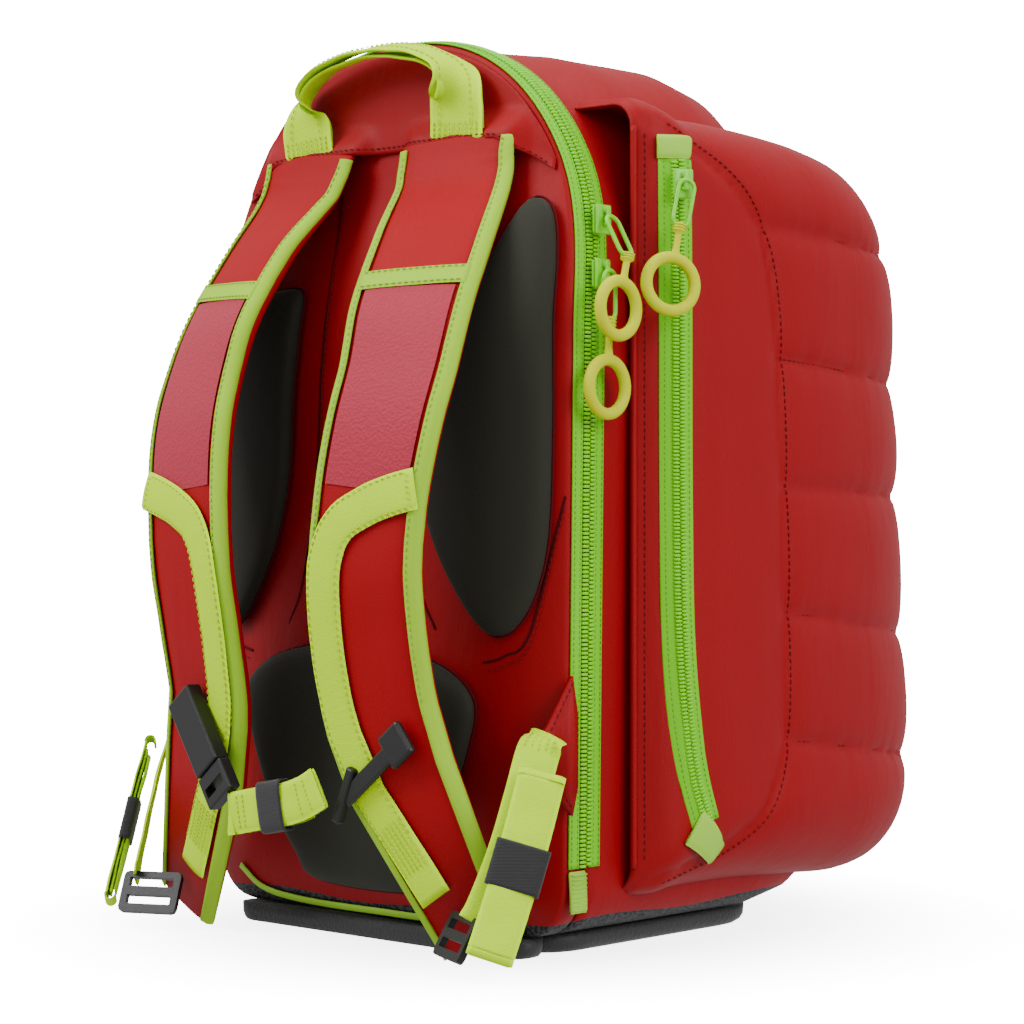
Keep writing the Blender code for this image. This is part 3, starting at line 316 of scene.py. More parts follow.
def ribbon(name, path, out, width, thick, mat, lift=0.0, camber=0.0, edge=None, ripple=0.0, seed=0.0, cap=True):
    """A strip of webbing or tape: its back face lies on the path, its edges are rounded and it can be cambered and rippled."""
    path = np.array(path, float)
    count = len(path)
    width = np.broadcast_to(np.array(width, float), count)
    thick = np.broadcast_to(np.array(thick, float), count)
    t, n, w = frames(path, out)
    cross = 12
    rings = []
    for k in range(count):
        h, th = width[k] / 2, thick[k]
        ring = []
        for s in np.linspace(-1, 1, cross):
            e = th * (0.5 - 0.5 * math.sqrt(max(0.0, 1 - max(0.0, (abs(s) - 1 + 2 * th / width[k]) / (2 * th / width[k])) ** 2)))
            bend = camber * (1 - s * s) + (ripple * wobble(path[k] + w[k] * s * h, 55, seed) if ripple else 0)
            ring.append(path[k] + w[k] * (s * h) + n[k] * (lift + th - e + bend))
        for s in np.linspace(1, -1, cross):
            e = th * (0.5 - 0.5 * math.sqrt(max(0.0, 1 - max(0.0, (abs(s) - 1 + 2 * th / width[k]) / (2 * th / width[k])) ** 2)))
            bend = camber * (1 - s * s) + (ripple * wobble(path[k] + w[k] * s * h, 55, seed) if ripple else 0)
            ring.append(path[k] + w[k] * (s * h) + n[k] * (lift + e + bend))
        rings.append(ring)
    return loft(name, rings, mat, cap, cap)


def tube(name, path, radius, mat, sides=10, closed=False):
    path = np.array(path, float)
    count = len(path)
    radius = np.broadcast_to(np.array(radius, float), count)
    if closed:
        t = unit(np.roll(path, -1, 0) - np.roll(path, 1, 0))
    else:
        t = unit(np.gradient(path, axis=0))
    ref = np.array([0.0, 0.0, 1.0]) if abs(t[0][2]) < 0.9 else np.array([0.0, 1.0, 0.0])
    n = ref - t[0] * (ref @ t[0])
    rings = []
    for k in range(count):
        n = unit(n - t[k] * (n @ t[k]))
        b = np.cross(t[k], n)
        rings.append([path[k] + radius[k] * (math.cos(a) * n + math.sin(a) * b) for a in np.linspace(0, 2 * math.pi, sides, endpoint=False)])
    if closed:
        rings.append(rings[0])
        return loft(name, rings, mat, False, False)
    return loft(name, rings, mat)


def stitches(name, path, out, mat, length=0.0028, gap=0.0014, radius=0.00042, lift=0.0002):
    """One mesh of short thread dashes along a path."""
    path = np.array(path, float)
    out = np.broadcast_to(np.array(out, float), path.shape)
    arc = np.concatenate([[0], np.cumsum(np.linalg.norm(np.diff(path, axis=0), axis=1))])
    verts, faces = [], []
    at = lambda s: np.array([np.interp(s, arc, path[:, k]) for k in range(3)])
    no = lambda s: unit(np.array([np.interp(s, arc, out[:, k]) for k in range(3)]))
    s = gap / 2
    while s + length < arc[-1]:
        a, b = at(s), at(s + length)
        n = no(s + length / 2)
        t = unit(b - a)
        w = np.cross(t, n)
        base = len(verts)
        for f, r in ((0.0, 0.25), (0.2, 0.95), (0.8, 0.95), (1.0, 0.25)):
            c = a + (b - a) * f + n * (lift + radius * 0.6 * r)
            for ca, sa in ((1, 0), (0.3, 0.9), (-0.8, 0.55), (-0.8, -0.55), (0.3, -0.9)):
                verts.append(c + radius * r * (ca * n + sa * w))
        for k in range(3):
            for j in range(5):
                m = (j + 1) % 5
                faces.append((base + k * 5 + j, base + k * 5 + m, base + (k + 1) * 5 + m, base + (k + 1) * 5 + j))
        faces.append(tuple(base + j for j in range(5)))
        faces.append(tuple(base + 15 + j for j in reversed(range(5))))
        s += length + gap
    return make(name, verts, faces, mat)


def joined(name, objs):
    """Several pieces as one object."""
    verts, faces, mats, slots, smooth = [], [], [], [], []
    for o in objs:
        base = len(verts)
        index = []
        for m in o.data.materials:
            if m not in mats:
                mats.append(m)
            index.append(mats.index(m))
        mw = o.matrix_world
        verts += [mw @ v.co for v in o.data.vertices]
        for p in o.data.polygons:
            faces.append(tuple(base + v for v in p.vertices))
            slots.append(index[p.material_index])
            smooth.append(p.use_smooth)
    mesh = bpy.data.meshes.new(name)
    mesh.from_pydata(verts, [], faces)
    for m in mats:
        mesh.materials.append(m)
    mesh.polygons.foreach_set("material_index", slots)
    mesh.polygons.foreach_set("use_smooth", smooth)
    mesh.update()
    for o in list(objs):
        bpy.data.objects.remove(o, do_unlink=True)
    obj = bpy.data.objects.new(name, mesh)
    COLLECTION.objects.link(obj)
    return obj


def put(obj, body, slot, *nodes):
    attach(obj, body)
    if nodes:
        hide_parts(*nodes)
    return obj


# ---------------------------------------------------------------- case halves
RC = 260


def shell_obj(name, rings, mat, thick=0.0026):
    obj = loft(name, rings, mat, False, True)
    obj.data.materials.append(M["lining"])
    mod = obj.modifiers.new("cloth", "SOLIDIFY")
    mod.thickness = thick
    mod.offset = -1
    mod.material_offset = 1
    return obj


def back_rings():
    rings = [[(x, -ZIP_GAP + float(lean(z)), z) for x, z in case_outline(RC)],
             [(x, BACK_EDGE * 0.55 + float(lean(z)), z) for x, z in case_outline(RC)],
             [(x, BACK_EDGE + 0.002 + float(lean(z)), z) for x, z in case_outline(RC, inset=0.0002)]]
    last_ring = case_outline(RC, inset=0.022)
    for inset in (0.0012, 0.003, 0.006, 0.010, 0.016, 0.022, 0.032, 0.042, 0.055, 0.070, 0.088, 0.105, 0.125):
        ring = []
        e = inset - 0.022
        section = case_outline(RC, inset=inset) if e <= 0 else [(x * (0.128 - e) / 0.128, 0.272 + (z - 0.272) * (0.238 - e) / 0.238) for x, z in last_ring]
        for x, z in section:
            y = BACK_EDGE - BACK_DOME * (1 - math.exp(-inset / 0.03)) * crown(z) + float(lean(z))
            fade = min(1, inset / 0.02)
            y -= fade * 0.0012 * wobble((x, 0, z * 0.6), 22, 3.1)
            ring.append((x, y, z))
        rings.append(ring)
    return rings


back = shell_obj("back_case_skin", back_rings(), "red_low")
put(back, "harness", "coated_fabric", "back_shell")


def front_section(y):
    power = float(np.interp(y, [0.0, 0.020, 0.06], [ARCH_POWER, ARCH_POWER, ARCH_POWER_FRONT]))
    inset = float(np.interp(y, [0.0, 0.140, 0.172, 0.198, 0.217, 0.228, CASE_DEPTH], [0, 0, 0.006, 0.018, 0.036, 0.060, 0.100]))
    bottom = float(np.interp(y, [0.0, 0.14, 0.19, CASE_DEPTH], [CASE_BOTTOM, CASE_BOTTOM, CASE_BOTTOM, 0.018]))
    return power, inset, bottom


def front_rings():
    out = []
    for y in (ZIP_GAP, 0.010, 0.018, 0.027, 0.036, 0.048, 0.060, 0.082, 0.105, 0.122, 0.140, 0.156, 0.172, 0.185, 0.198, 0.208, 0.217, 0.228, CASE_DEPTH):
        power, inset, bottom = front_section(y)
        fade = min(1.0, max(0.0, (0.12 - y) / 0.10))
        ring = []
        soft = min(1, max(0, (y - 0.026) / 0.03))
        for x, z in case_outline(RC, power=power, inset=inset, bottom=bottom):
            k = 1 + 0.20 * max(0.0, 0.30 - z) / 0.27
            d = soft * 0.0016 * wobble((x, y, z), 16, 1.7) if z > 0.03 else 0.0
            c = np.array([x, z - 0.25])
            c = c / max(1e-6, np.linalg.norm(c))
            ring.append((x + c[0] * d, y * k + float(lean(z)) * fade, z + c[1] * d))
        out.append(ring)
    return out


front = shell_obj("front_case_skin", front_rings(), "red_low")
put(front, "front_case", "coated_fabric", "front_shell")


# ---------------------------------------------------------------- bases: woven, with a rounded lower edge
def base_skin(name, y0, y1, half, corner, body, node):
    near = y0 if abs(y0) < abs(y1) else y1
    rings = []
    for z, sx, sy in ((0.0, 0.955, 0.955), (0.0006, 0.972, 0.972), (0.0024, 0.988, 0.988), (0.0055, 0.998, 0.998), (0.0112, 1.0, 1.0)):
        pts = []
        for qx, qy, start in ((1, -1, -90), (1, 1, 0), (-1, 1, 90), (-1, -1, 180)):
            for t in np.linspace(0, 90, 7):
                a = math.radians(start + t)
                pts.append((qx * (half - corner) + corner * math.cos(a), (y0 + y1) / 2 + qy * ((y1 - y0) / 2 - corner) + corner * math.sin(a)))
        rings.append([(x * sx, (y - near) * sy + near, z) for x, y in resample(pts, 120, True)])
    put(loft(name, rings, "base"), body, "base_fabric", node)


base_skin("base_front_skin", -0.0008, 0.196, 0.1225, 0.030, "front_case", "base_front")
base_skin("base_back_skin", -0.0225, -0.0012, 0.1215, 0.008, "harness", "base_back")

# lime edge trim round the foot of the back panel
foot = [(x, back_y(x, z) - 0.0008, z) for x, z in smooth_path([(-0.118, 0.034), (-0.100, 0.021), (-0.06, 0.0165), (0, 0.016), (0.06, 0.0165), (0.100, 0.021), (0.118, 0.034)], 60)]
put(ribbon("foot_trim", foot, (0, -1, -0.5), 0.0050, 0.0014, "lime_bright"), "harness", "trim")

# ---------------------------------------------------------------- wrap-round outer pocket, quilted in front
OUTER = np.array([
    (POCKET_REAR, 0.1525, 0.488, 0.036, 0.014),
    (0.044, 0.1630, 0.488, 0.036, 0.022),
    (0.056, 0.1710, 0.485, 0.036, 0.030),
    (0.075, 0.1750, 0.480, 0.038, 0.038),
    (0.105, 0.1770, 0.479, 0.038, 0.044),
    (0.145, 0.1785, 0.478, 0.037, 0.048),
    (0.195, 0.1780, 0.475, 0.034, 0.052),
    (0.235, 0.1730, 0.469, 0.031, 0.054),
    (0.268, 0.1610, 0.455, 0.034, 0.056),
    (0.292, 0.1410, 0.435, 0.044, 0.060),
    (0.308, 0.1100, 0.407, 0.072, 0.058),
    (0.315, 0.0700, 0.365, 0.115, 0.050),
    (PACK_FRONT, 0.0300, 0.310, 0.170, 0.025),
])


def outer_half(y):
    return float(np.interp(y, OUTER[:, 0], OUTER[:, 1]))


def outer_x(y, z):
    """Half width of the pocket's skin at a depth and height, with its rounded corners."""
    half, top, bottom, radius = (float(np.interp(y, OUTER[:, 0], OUTER[:, k])) for k in (1, 2, 3, 4))
    over = max(z - (top - radius), (bottom + radius) - z, 0.0)
    return half - radius + math.sqrt(max(0.0, radius**2 - min(over, radius) ** 2))


def outer_normal(y, z, sign):
    e = 0.004
    dy = (outer_x(y + e, z) - outer_x(y - e, z)) / (2 * e)
    dz = (outer_x(y, z + e) - outer_x(y, z - e)) / (2 * e)
    return unit(np.array([sign, -dy, -dz]))


def sheared(y, z):
    return y + max(0.0, y - 0.15) / 0.165 * FRONT_SLOPE * (0.40 - z)


SIDE_SEAM = [(0.060, 0.465), (0.090, 0.449), (0.112, 0.430), (0.126, 0.405), (0.134, 0.365), (0.139, 0.300), (0.142, 0.220),
             (0.143, 0.130), (0.138, 0.100), (0.124, 0.076), (0.098, 0.060), (0.070, 0.051)]
SEAM = smooth_path([(0.037, 0.4780), *SIDE_SEAM, (0.037, 0.0420)], 160)
POCKET_LINE = smooth_path([(0.0540, 0.4550), (0.0545, 0.3740), (0.0548, 0.2600), (0.0565, 0.1740), (0.0630, 0.1110), (0.0740, 0.0740)], 90)
CHANNELS = [(0.4210, 0.4120), (0.3440, 0.3320), (0.2690, 0.2620), (0.1945, 0.1740), (0.1190, 0.0960)]


def seam_distance(y, z):
    """Signed distance to the side panel's seam: positive inside the panel."""
    d = np.hypot(SEAM[:, 0] - y, SEAM[:, 1] - z)
    k = int(np.argmin(d))
    t = unit(SEAM[min(k + 1, len(SEAM) - 1)] - SEAM[max(k - 1, 0)])
    off = np.array([y, z]) - SEAM[k]
    inside = (off[0] * t[1] - off[1] * t[0]) > 0
    return float(d[k]) * (1 if inside else -1)


# the seam runs down from the top, so its inner side is toward smaller y
if seam_distance(0.08, 0.25) < 0:
    _plain = seam_distance

    def seam_distance(y, z):
        return -_plain(y, z)


def channel_z(k, y):
    a, b = CHANNELS[k]
    return a + (b - a) * min(1.3, max(0.0, (y - 0.14) / 0.16))


def skin_offset(x, y, z):
    """How far the sewn skin stands off the plain form: puffed quilting, panel fullness and pulled seams."""
    zip_d = float(np.min(np.hypot(POCKET_LINE[:, 0] - y, POCKET_LINE[:, 1] - z)))
    side = abs(x) > 0.6 * outer_half(min(y, 0.28)) and y < 0.20
    s = seam_distance(y, z) if side or y < 0.16 else -0.10
    if y < 0.037:
        return 0.0
    if s > 0:
        puff = 0.0022 * (1 - math.exp(-s / 0.012)) + 0.0013 * wobble((x, y, z * 0.45), 24, 5.0) * min(1, s / 0.02)
        puff *= 1 - math.exp(-((zip_d / 0.018) ** 2))
        rear = 1 - math.exp(-(((y - 0.037) / 0.010) ** 2))
        return puff * rear - 0.0012 * math.exp(-((s / 0.0022) ** 2))
    a = -s
    lines = [channel_z(k, y) for k in range(len(CHANNELS))]
    bounds = [0.500] + lines + [0.010]
    for hi, lo in zip(bounds[:-1], bounds[1:]):
        if lo <= z <= hi:
            break
    near = [abs(z - v) for v in lines]
    dist = min(near)
    t = 1 - math.exp(-dist / 0.010)
    pucker = 0.0009 * wobble((x * 0.3, y, 0.0), 95, 2.0 + near.index(dist)) * math.exp(-dist / 0.012)
    puff = 0.0052 * t + pucker + 0.0012 * wobble((x, y, z), 20, 9.0) * t
    puff *= (1 - math.exp(-a / 0.010))
    return puff - 0.0014 * math.exp(-((a / 0.0024) ** 2)) - 0.0012 * math.exp(-((dist / 0.0016) ** 2)) * min(1, a / 0.004)


def rounded_rect(count, half, top, bottom, radius):
    pts = [(x, bottom) for x in np.linspace(0, half - radius, 10)]
    for t in np.linspace(-90, 0, 13)[1:]:
        pts.append((half - radius + radius * math.cos(math.radians(t)), bottom + radius + radius * math.sin(math.radians(t))))
    pts += [(half, z) for z in np.linspace(bottom + radius, top - radius, 16)[1:]]
    for t in np.linspace(0, 90, 13)[1:]:
        pts.append((half - radius + radius * math.cos(math.radians(t)), top - radius + radius * math.sin(math.radians(t))))
    pts += [(x, top) for x in np.linspace(half - radius, 0, 10)[1:]]
    right = np.array(pts)
    both = np.vstack([right, (right * (-1, 1))[::-1][1:-1]])
    return resample(both, count, closed=True)


def outer_grid():
    ys = np.concatenate([np.linspace(POCKET_REAR, 0.075, 16), np.linspace(0.0785, 0.235, 44), np.linspace(0.239, 0.308, 22), [0.3110, 0.3135, 0.3155, PACK_FRONT]])
    smooth = smooth_path(OUTER[:, :], 200)
    rings = []
    for y in ys:
        half, top, bottom, radius = (float(np.interp(y, smooth[:, 0], smooth[:, k])) for k in (1, 2, 3, 4))
        rings.append([(x, y, z) for x, z in rounded_rect(440, half, top, bottom, radius)])
    return np.array(rings)


grid = outer_grid()
du = np.gradient(grid, axis=0)
dv = np.roll(grid, -1, 1) - np.roll(grid, 1, 1)
nrm = unit(np.cross(dv.reshape(-1, 3), du.reshape(-1, 3))).reshape(grid.shape)
mid = grid.mean((0, 1))
if np.mean(np.sum(nrm * (grid - mid), 2)) < 0:
    nrm = -nrm
moved = grid.copy()
for i in range(grid.shape[0]):
    for j in range(grid.shape[1]):
        p = grid[i, j]
        moved[i, j] = p + nrm[i, j] * skin_offset(*p)
moved[:, :, 1] = moved[:, :, 1] + np.maximum(0.0, moved[:, :, 1] - 0.15) / 0.165 * FRONT_SLOPE * (0.40 - moved[:, :, 2])
inner_rim = []
for x, z in rounded_rect(440, 0.1508, 0.4865, 0.0375, 0.013):
    inner_rim.append((x, POCKET_REAR + 0.0012, z))
cover = loft("outer_pocket_skin", [inner_rim, *moved], "red_quilt", False, True)
mod = cover.modifiers.new("cloth", "SOLIDIFY")
mod.thickness, mod.offset = 0.0022, -1
put(cover, "front_case", "coated_fabric", "front_cover", "side_panel_left", "side_panel_right")


def on_outer(y, z, sign, lift=0.0):
    p = np.array([sign * outer_x(y, z), y, z])
    n = outer_normal(y, z, sign)
    p = p + n * (skin_offset(*p) + lift)
    p[1] = sheared(p[1], p[2])
    return p, n


def outer_path(points, sign, lift=0.0):
    got = [on_outer(y, z, sign, lift) for y, z in points]
    return np.array([g[0] for g in got]), np.array([g[1] for g in got])


trims = []
for sign in (1, -1):
    # side panel seam: a pulled line coloured as painted seam shade, with a topstitch each side
    path, out = outer_path(SEAM[2:-2], sign, -0.0004)
    trims.append(tube("seam_line", path, 0.0007, "seam_shade", 6))
    off = SEAM[4:-4] + 0.0042 * np.stack([-np.gradient(SEAM[4:-4, 1]), np.gradient(SEAM[4:-4, 0])], 1) / np.linalg.norm(np.gradient(SEAM[4:-4], axis=0), axis=1)[:, None]
    if seam_distance(*off[60]) > 0:
        off = SEAM[4:-4] * 2 - off
    path, out = outer_path(off, sign)
    trims.append(stitches("seam_stitch", path, out, "thread"))
    # piped rear edge of the pocket with a line of topstitching
    edge = [(0.0355, z) for z in np.linspace(0.4735, 0.0500, 120)]
    path, out = outer_path(edge, sign)
    trims.append(tube("rear_piping", path + np.array([sign * 0.0004, -0.0012, 0]), 0.0021, "red_quilt", 10))
    path, out = outer_path([(0.0395, z) for z in np.linspace(0.470, 0.054, 120)], sign)
    trims.append(stitches("rear_stitch", path, out, "thread"))
    # rows of stitching through the quilting
    for k in range(len(CHANNELS)):
        ys = np.linspace(0.125 if k == 0 else 0.143, 0.285, 90)
        path, out = outer_path([(y, channel_z(k, y)) for y in ys], sign, 0.0002)
        trims.append(stitches("quilt_stitch", path, out, "thread", 0.0030, 0.0016))
# quilting rows round the front
for k in range(len(CHANNELS)):
    pts = []
    rows_y = grid[:, 0, 1]
    for i in range(grid.shape[0]):
        if rows_y[i] < 0.283:
            continue
        want = channel_z(k, rows_y[i])
        ring, ring_n = moved[i], nrm[i]
        right = [j for j in range(grid.shape[1]) if grid[i, j, 0] > 0]
        j = min(right, key=lambda j: abs(grid[i, j, 2] - want))
        if abs(grid[i, j, 2] - want) < 0.004:
            pts.append((ring[j], ring_n[j]))
    if len(pts) > 3:
        p = np.array([a for a, _ in pts])
        n = np.array([b for _, b in pts])
        for sign in (1, -1):
            f = np.array([sign, 1, 1])
            trims.append(stitches("quilt_front", p * f, n * f, "thread", 0.0030, 0.0016))
put(joined("outer_pocket_stitching", trims), "front_case", "coated_fabric")


# ---------------------------------------------------------------- zips
def zip_path():
    dense = case_outline(900)
    keep = [p for p in dense if p[1] >= 0.052]
    start = max(range(len(keep)), key=lambda i: keep[i][0] if abs(keep[i][1] - 0.052) < 0.002 else -1)
    keep = keep[start:] + keep[:start]
    path = resample(keep, 420)
    tangent = unit(np.gradient(path, axis=0))
    normal = np.stack([tangent[:, 1], -tangent[:, 0]], 1)
    return path, tangent, normal


ZP, ZT, ZN = zip_path()


def zip_side(name, sign, body, node):
    section = [(0.0128, 0.0003), (0.0130, 0.0009), (0.0126, 0.0014), (0.0072, 0.0015), (0.0060, 0.0017), (0.0052, 0.0016), (0.0040, 0.0006), (0.0040, 0.0002)]
    rings = []
    for (x, z), (nx, nz) in zip(ZP, ZN):
        rings.append([(x + nx * out, sign * along + float(lean(z)), z + nz * out) for along, out in section])
    parts = [loft(name + "_tape", rings, "zip")]
    # coil: one bead per tooth, elongated across the tape
    arc = np.concatenate([[0], np.cumsum(np.linalg.norm(np.diff(ZP, axis=0), axis=1))])
    verts, faces = [], []
    pitch = 0.0024
    s = 0.001 + (pitch / 2 if sign > 0 else 0)
    ring8 = [(math.cos(a), math.sin(a)) for a in np.linspace(0, 2 * math.pi, 8, endpoint=False)]
    while s < arc[-1] - 0.001:
        x, z = np.interp(s, arc, ZP[:, 0]), np.interp(s, arc, ZP[:, 1])
        n = unit(np.array([np.interp(s, arc, ZN[:, 0]), np.interp(s, arc, ZN[:, 1])]))
        t = np.array([-n[1], n[0]])
        base = len(verts)
        for along, hr, lr in ((0.0052, 0.35, 0.5), (0.0046, 0.0010, 0.0009), (0.0020, 0.0014, 0.0010), (0.0008, 0.0012, 0.0010), (0.0003, 0.0004, 0.0004)):
            hr = 0.0004 if hr == 0.35 else hr
            lr = 0.0005 if lr == 0.5 else lr
            for c, q in ring8:
                o = 0.0020 + hr * c
                verts.append((x + n[0] * o + t[0] * lr * q, sign * along + float(lean(z)), z + n[1] * o + t[1] * lr * q))
        for k in range(4):
            for j in range(8):
                m = (j + 1) % 8
                faces.append((base + k * 8 + j, base + k * 8 + m, base + (k + 1) * 8 + m, base + (k + 1) * 8 + j))
        faces.append(tuple(base + j for j in range(8)))
        faces.append(tuple(base + 32 + j for j in reversed(range(8))))
        s += pitch
    parts.append(make(name + "_teeth", verts, faces, "teeth"))
    for along, thread in ((0.0066, "zip_thread"), (0.0113, "zip_thread")):
        line = np.array([(x + nx * 0.0017, sign * along + float(lean(z)), z + nz * 0.0017) for (x, z), (nx, nz) in zip(ZP, ZN)])
        n3 = np.array([(nx, 0, nz) for nx, nz in ZN])
        parts.append(stitches(name + "_stitch", line, n3, thread, 0.0020, 0.0012, 0.00030, -0.0001))
    put(joined(name, parts), body, "zip_tape", node)


zip_side("main_zip_back_cloth", -1, "harness", "main_zip_back")
zip_side("main_zip_front_cloth", 1, "front_case", "main_zip_front")

for side, sign in (("right", 1), ("left", -1)):
    tape_y, tape_z = POCKET_LINE[:, 0], POCKET_LINE[:, 1]
    base_p = np.array([(sign * outer_x(y, z), y, z) for y, z in POCKET_LINE])
    t3 = unit(np.gradient(base_p, axis=0))
    n3 = np.array([outer_normal(y, z, sign) for y, z in POCKET_LINE])
    n3 = unit(n3 - t3 * np.sum(n3 * t3, 1, keepdims=True))
    w3 = np.cross(t3, n3)
    rings = []
    for p, n, w in zip(base_p, n3, w3):
        ring = []
        for a, h in [(-0.0106, 0.0004), (-0.0108, 0.0010), (-0.0104, 0.0015), (-0.0052, 0.0016), (-0.0044, 0.0021), (0.0044, 0.0021), (0.0052, 0.0016), (0.0104, 0.0015), (0.0108, 0.0010), (0.0106, 0.0004)]:
            q = p + w * a
            q[0] = sign * outer_x(q[1], q[2]) + (n * h)[0]
            q[1] += n[1] * h
            ring.append(q)
        rings.append(ring)
    parts = [loft("pocket_tape", rings, "zip")]
    arc = np.concatenate([[0], np.cumsum(np.linalg.norm(np.diff(base_p, axis=0), axis=1))])
    verts, faces = [], []
    for row in (-1, 1):
        s = 0.001 + (0.0011 if row > 0 else 0)
        while s < arc[-1] - 0.001:
            at = lambda arr: np.array([np.interp(s, arc, arr[:, k]) for k in range(3)])
            p, n, w, t = at(base_p), unit(at(n3)), unit(at(w3)), unit(at(t3))
            base = len(verts)
            for along, hr, lr in ((0.0042, 0.0004, 0.0005), (0.0036, 0.0009, 0.0008), (0.0016, 0.0013, 0.0009), (0.0002, 0.0009, 0.0008)):
                for c, q in [(math.cos(a), math.sin(a)) for a in np.linspace(0, 2 * math.pi, 8, endpoint=False)]:
                    verts.append(p + w * (row * along) + n * (0.0026 + hr * c) + t * (lr * q))
            for k in range(3):
                for j in range(8):
                    m = (j + 1) % 8
                    faces.append((base + k * 8 + j, base + k * 8 + m, base + (k + 1) * 8 + m, base + (k + 1) * 8 + j))
            faces.append(tuple(base + j for j in range(8)))
            faces.append(tuple(base + 24 + j for j in reversed(range(8))))
            s += 0.0022
    parts.append(make("pocket_teeth", verts, faces, "teeth"))
    for a in (-0.0078, 0.0078):
        line = np.array([(sign * outer_x((p + w * a)[1], (p + w * a)[2]), (p + w * a)[1], (p + w * a)[2]) + n * 0.0017 for p, w, n in zip(base_p, w3, n3)])
        parts.append(stitches("pocket_stitch", line, n3, "zip_thread", 0.0020, 0.0012, 0.00030, -0.0001))
    put(joined("pocket_zip_cloth_" + side, parts), "front_case", "zip_tape", "pocket_zip_" + side)
    # folded end tabs
    tabs = []
    y0, z0 = 0.0535, 0.4618
    pts = [on_outer(y, z0, sign, 0.0008)[0] for y in np.linspace(0.0440, 0.0625, 14)]
    tabs.append(ribbon("tab_top_" + side, pts, (sign, -0.35, 0), 0.0135, 0.0024, "lime_bright", camber=0.0006))
    put(tabs[0], "front_case", "trim", "pocket_zip_tab_top_" + side)
    pts = [on_outer(y, z, sign, 0.0010)[0] for y, z in zip(np.linspace(0.0640, 0.0885, 16), np.linspace(0.0730, 0.0560, 16))]
    tab = ribbon("tab_bottom_" + side, pts, (sign, -0.25, 0), np.linspace(0.0235, 0.0165, 16), 0.0026, "lime_bright", camber=0.0006)
    put(tab, "front_case", "trim", "pocket_zip_tab_bottom_" + side)
    # ribbed end tab of the main zip
    pts = [(sign * 0.1478, -0.0135, 0.040), (sign * 0.1478, -0.0010, 0.040)]
    pts = resample([(sign * 0.1478, y, 0.0400) for y in np.linspace(-0.0136, -0.0008, 8)], 20)
    tab = ribbon("zip_end_cloth_" + side, pts, (sign, 0, 0.05), 0.0235, 0.0018, "lime_bright", camber=0.0003)
    ribs = [tube("rib", [(sign * 0.1500, -0.0132, z), (sign * 0.1500, -0.0012, z)], 0.0006, "lime_bright", 6) for z in np.linspace(0.0300, 0.0500, 9)]
    put(joined("zip_end_cloth_" + side, [tab, *ribs]), "harness", "trim", "zip_end_tab_" + side)


# ---------------------------------------------------------------- pads
def pad(name, outline, thickness, centre, node, seed):
    ring = smooth_path(list(outline) + [outline[0]], 161)[:-1]
    mid = np.array(centre)
    rings = []
    for scale, height in ((0.985, 0.02), (1.0, 0.16), (1.0, 0.34), (0.985, 0.56), (0.955, 0.76), (0.91, 0.89), (0.84, 0.97), (0.74, 1.0), (0.60, 1.02), (0.44, 1.03), (0.28, 1.03), (0.12, 1.03)):
        row = []
        for x, z in mid + (ring - mid) * scale:
            h = thickness * height
            soft = 0.0011 * wobble((x, 0, z * 0.5), 30, seed) * min(1.0, height)
            row.append((x, back_y(x, z) - 0.0040 - h - soft, z))
        rings.append(row)
    obj = loft(name, rings, "pad")
    put(obj, "harness", "pad_fabric", node)
    edge = [(x, back_y(x, z) - 0.0046, z) for x, z in mid + (ring - mid) * 1.006]
    # the pad's edge seam is a thin tube in painted seam shade
    put(tube(name + "_seam", edge, 0.0008, "seam_shade", 6, closed=True), "harness", "pad_fabric")


UPPER_PAD = [(0.054, 0.386), (0.051, 0.360), (0.053, 0.320), (0.058, 0.268), (0.074, 0.224), (0.104, 0.186), (0.126, 0.192), (0.140, 0.230),
             (0.1435, 0.300), (0.1430, 0.370), (0.1400, 0.404), (0.1320, 0.426), (0.1180, 0.430), (0.1060, 0.410), (0.0960, 0.392), (0.078, 0.388)]
LUMBAR = [(0.0, 0.177), (0.045, 0.172), (0.078, 0.162), (0.095, 0.145), (0.090, 0.118), (0.074, 0.080), (0.056, 0.048), (0.040, 0.032)]
pad("pad_right", UPPER_PAD, 0.009, (0.096, 0.295), "back_pad_right", 1.0)
pad("pad_left", [(-x, z) for x, z in reversed(UPPER_PAD)], 0.009, (-0.096, 0.295), "back_pad_left", 2.0)
pad("pad_lumbar", LUMBAR + [(-x, z) for x, z in reversed(LUMBAR[1:])], 0.010, (0, 0.105), "lumbar_pad", 3.0)


def on_back(points, lift=0.0006, count=80):
    return np.array([(x, back_y(x, z) - lift, z) for x, z in smooth_path(points, count)])


seams = []
for sign in (1, -1):
    # lower side wings of the back panel, and the line that frames the pads
    line = on_back([(sign * x, z) for x, z in ((0.147, 0.262), (0.128, 0.186), (0.112, 0.172), (0.098, 0.168))], 0.0002)
    seams.append(tube("wing_seam", line, 0.0007, "seam_shade", 6))
    line2 = on_back([(sign * x, z) for x, z in ((0.147, 0.256), (0.129, 0.181), (0.113, 0.167), (0.099, 0.163))])
    seams.append(stitches("wing_stitch", line2, (0, -1, 0), "thread"))
    line = on_back([(sign * x, z) for x, z in ((0.043, 0.455), (0.036, 0.400), (0.034, 0.340), (0.038, 0.270), (0.050, 0.210), (0.062, 0.186))], 0.0002)
    seams.append(tube("channel_seam", line, 0.0007, "seam_shade", 6))
    line = on_back([(sign * x, z) for x, z in ((0.0405, 0.455), (0.0335, 0.400), (0.0315, 0.340), (0.0355, 0.270), (0.047, 0.212))])
    seams.append(stitches("channel_stitch", line, (0, -1, 0), "thread"))
put(joined("back_panel_seams", seams), "harness", "coated_fabric")

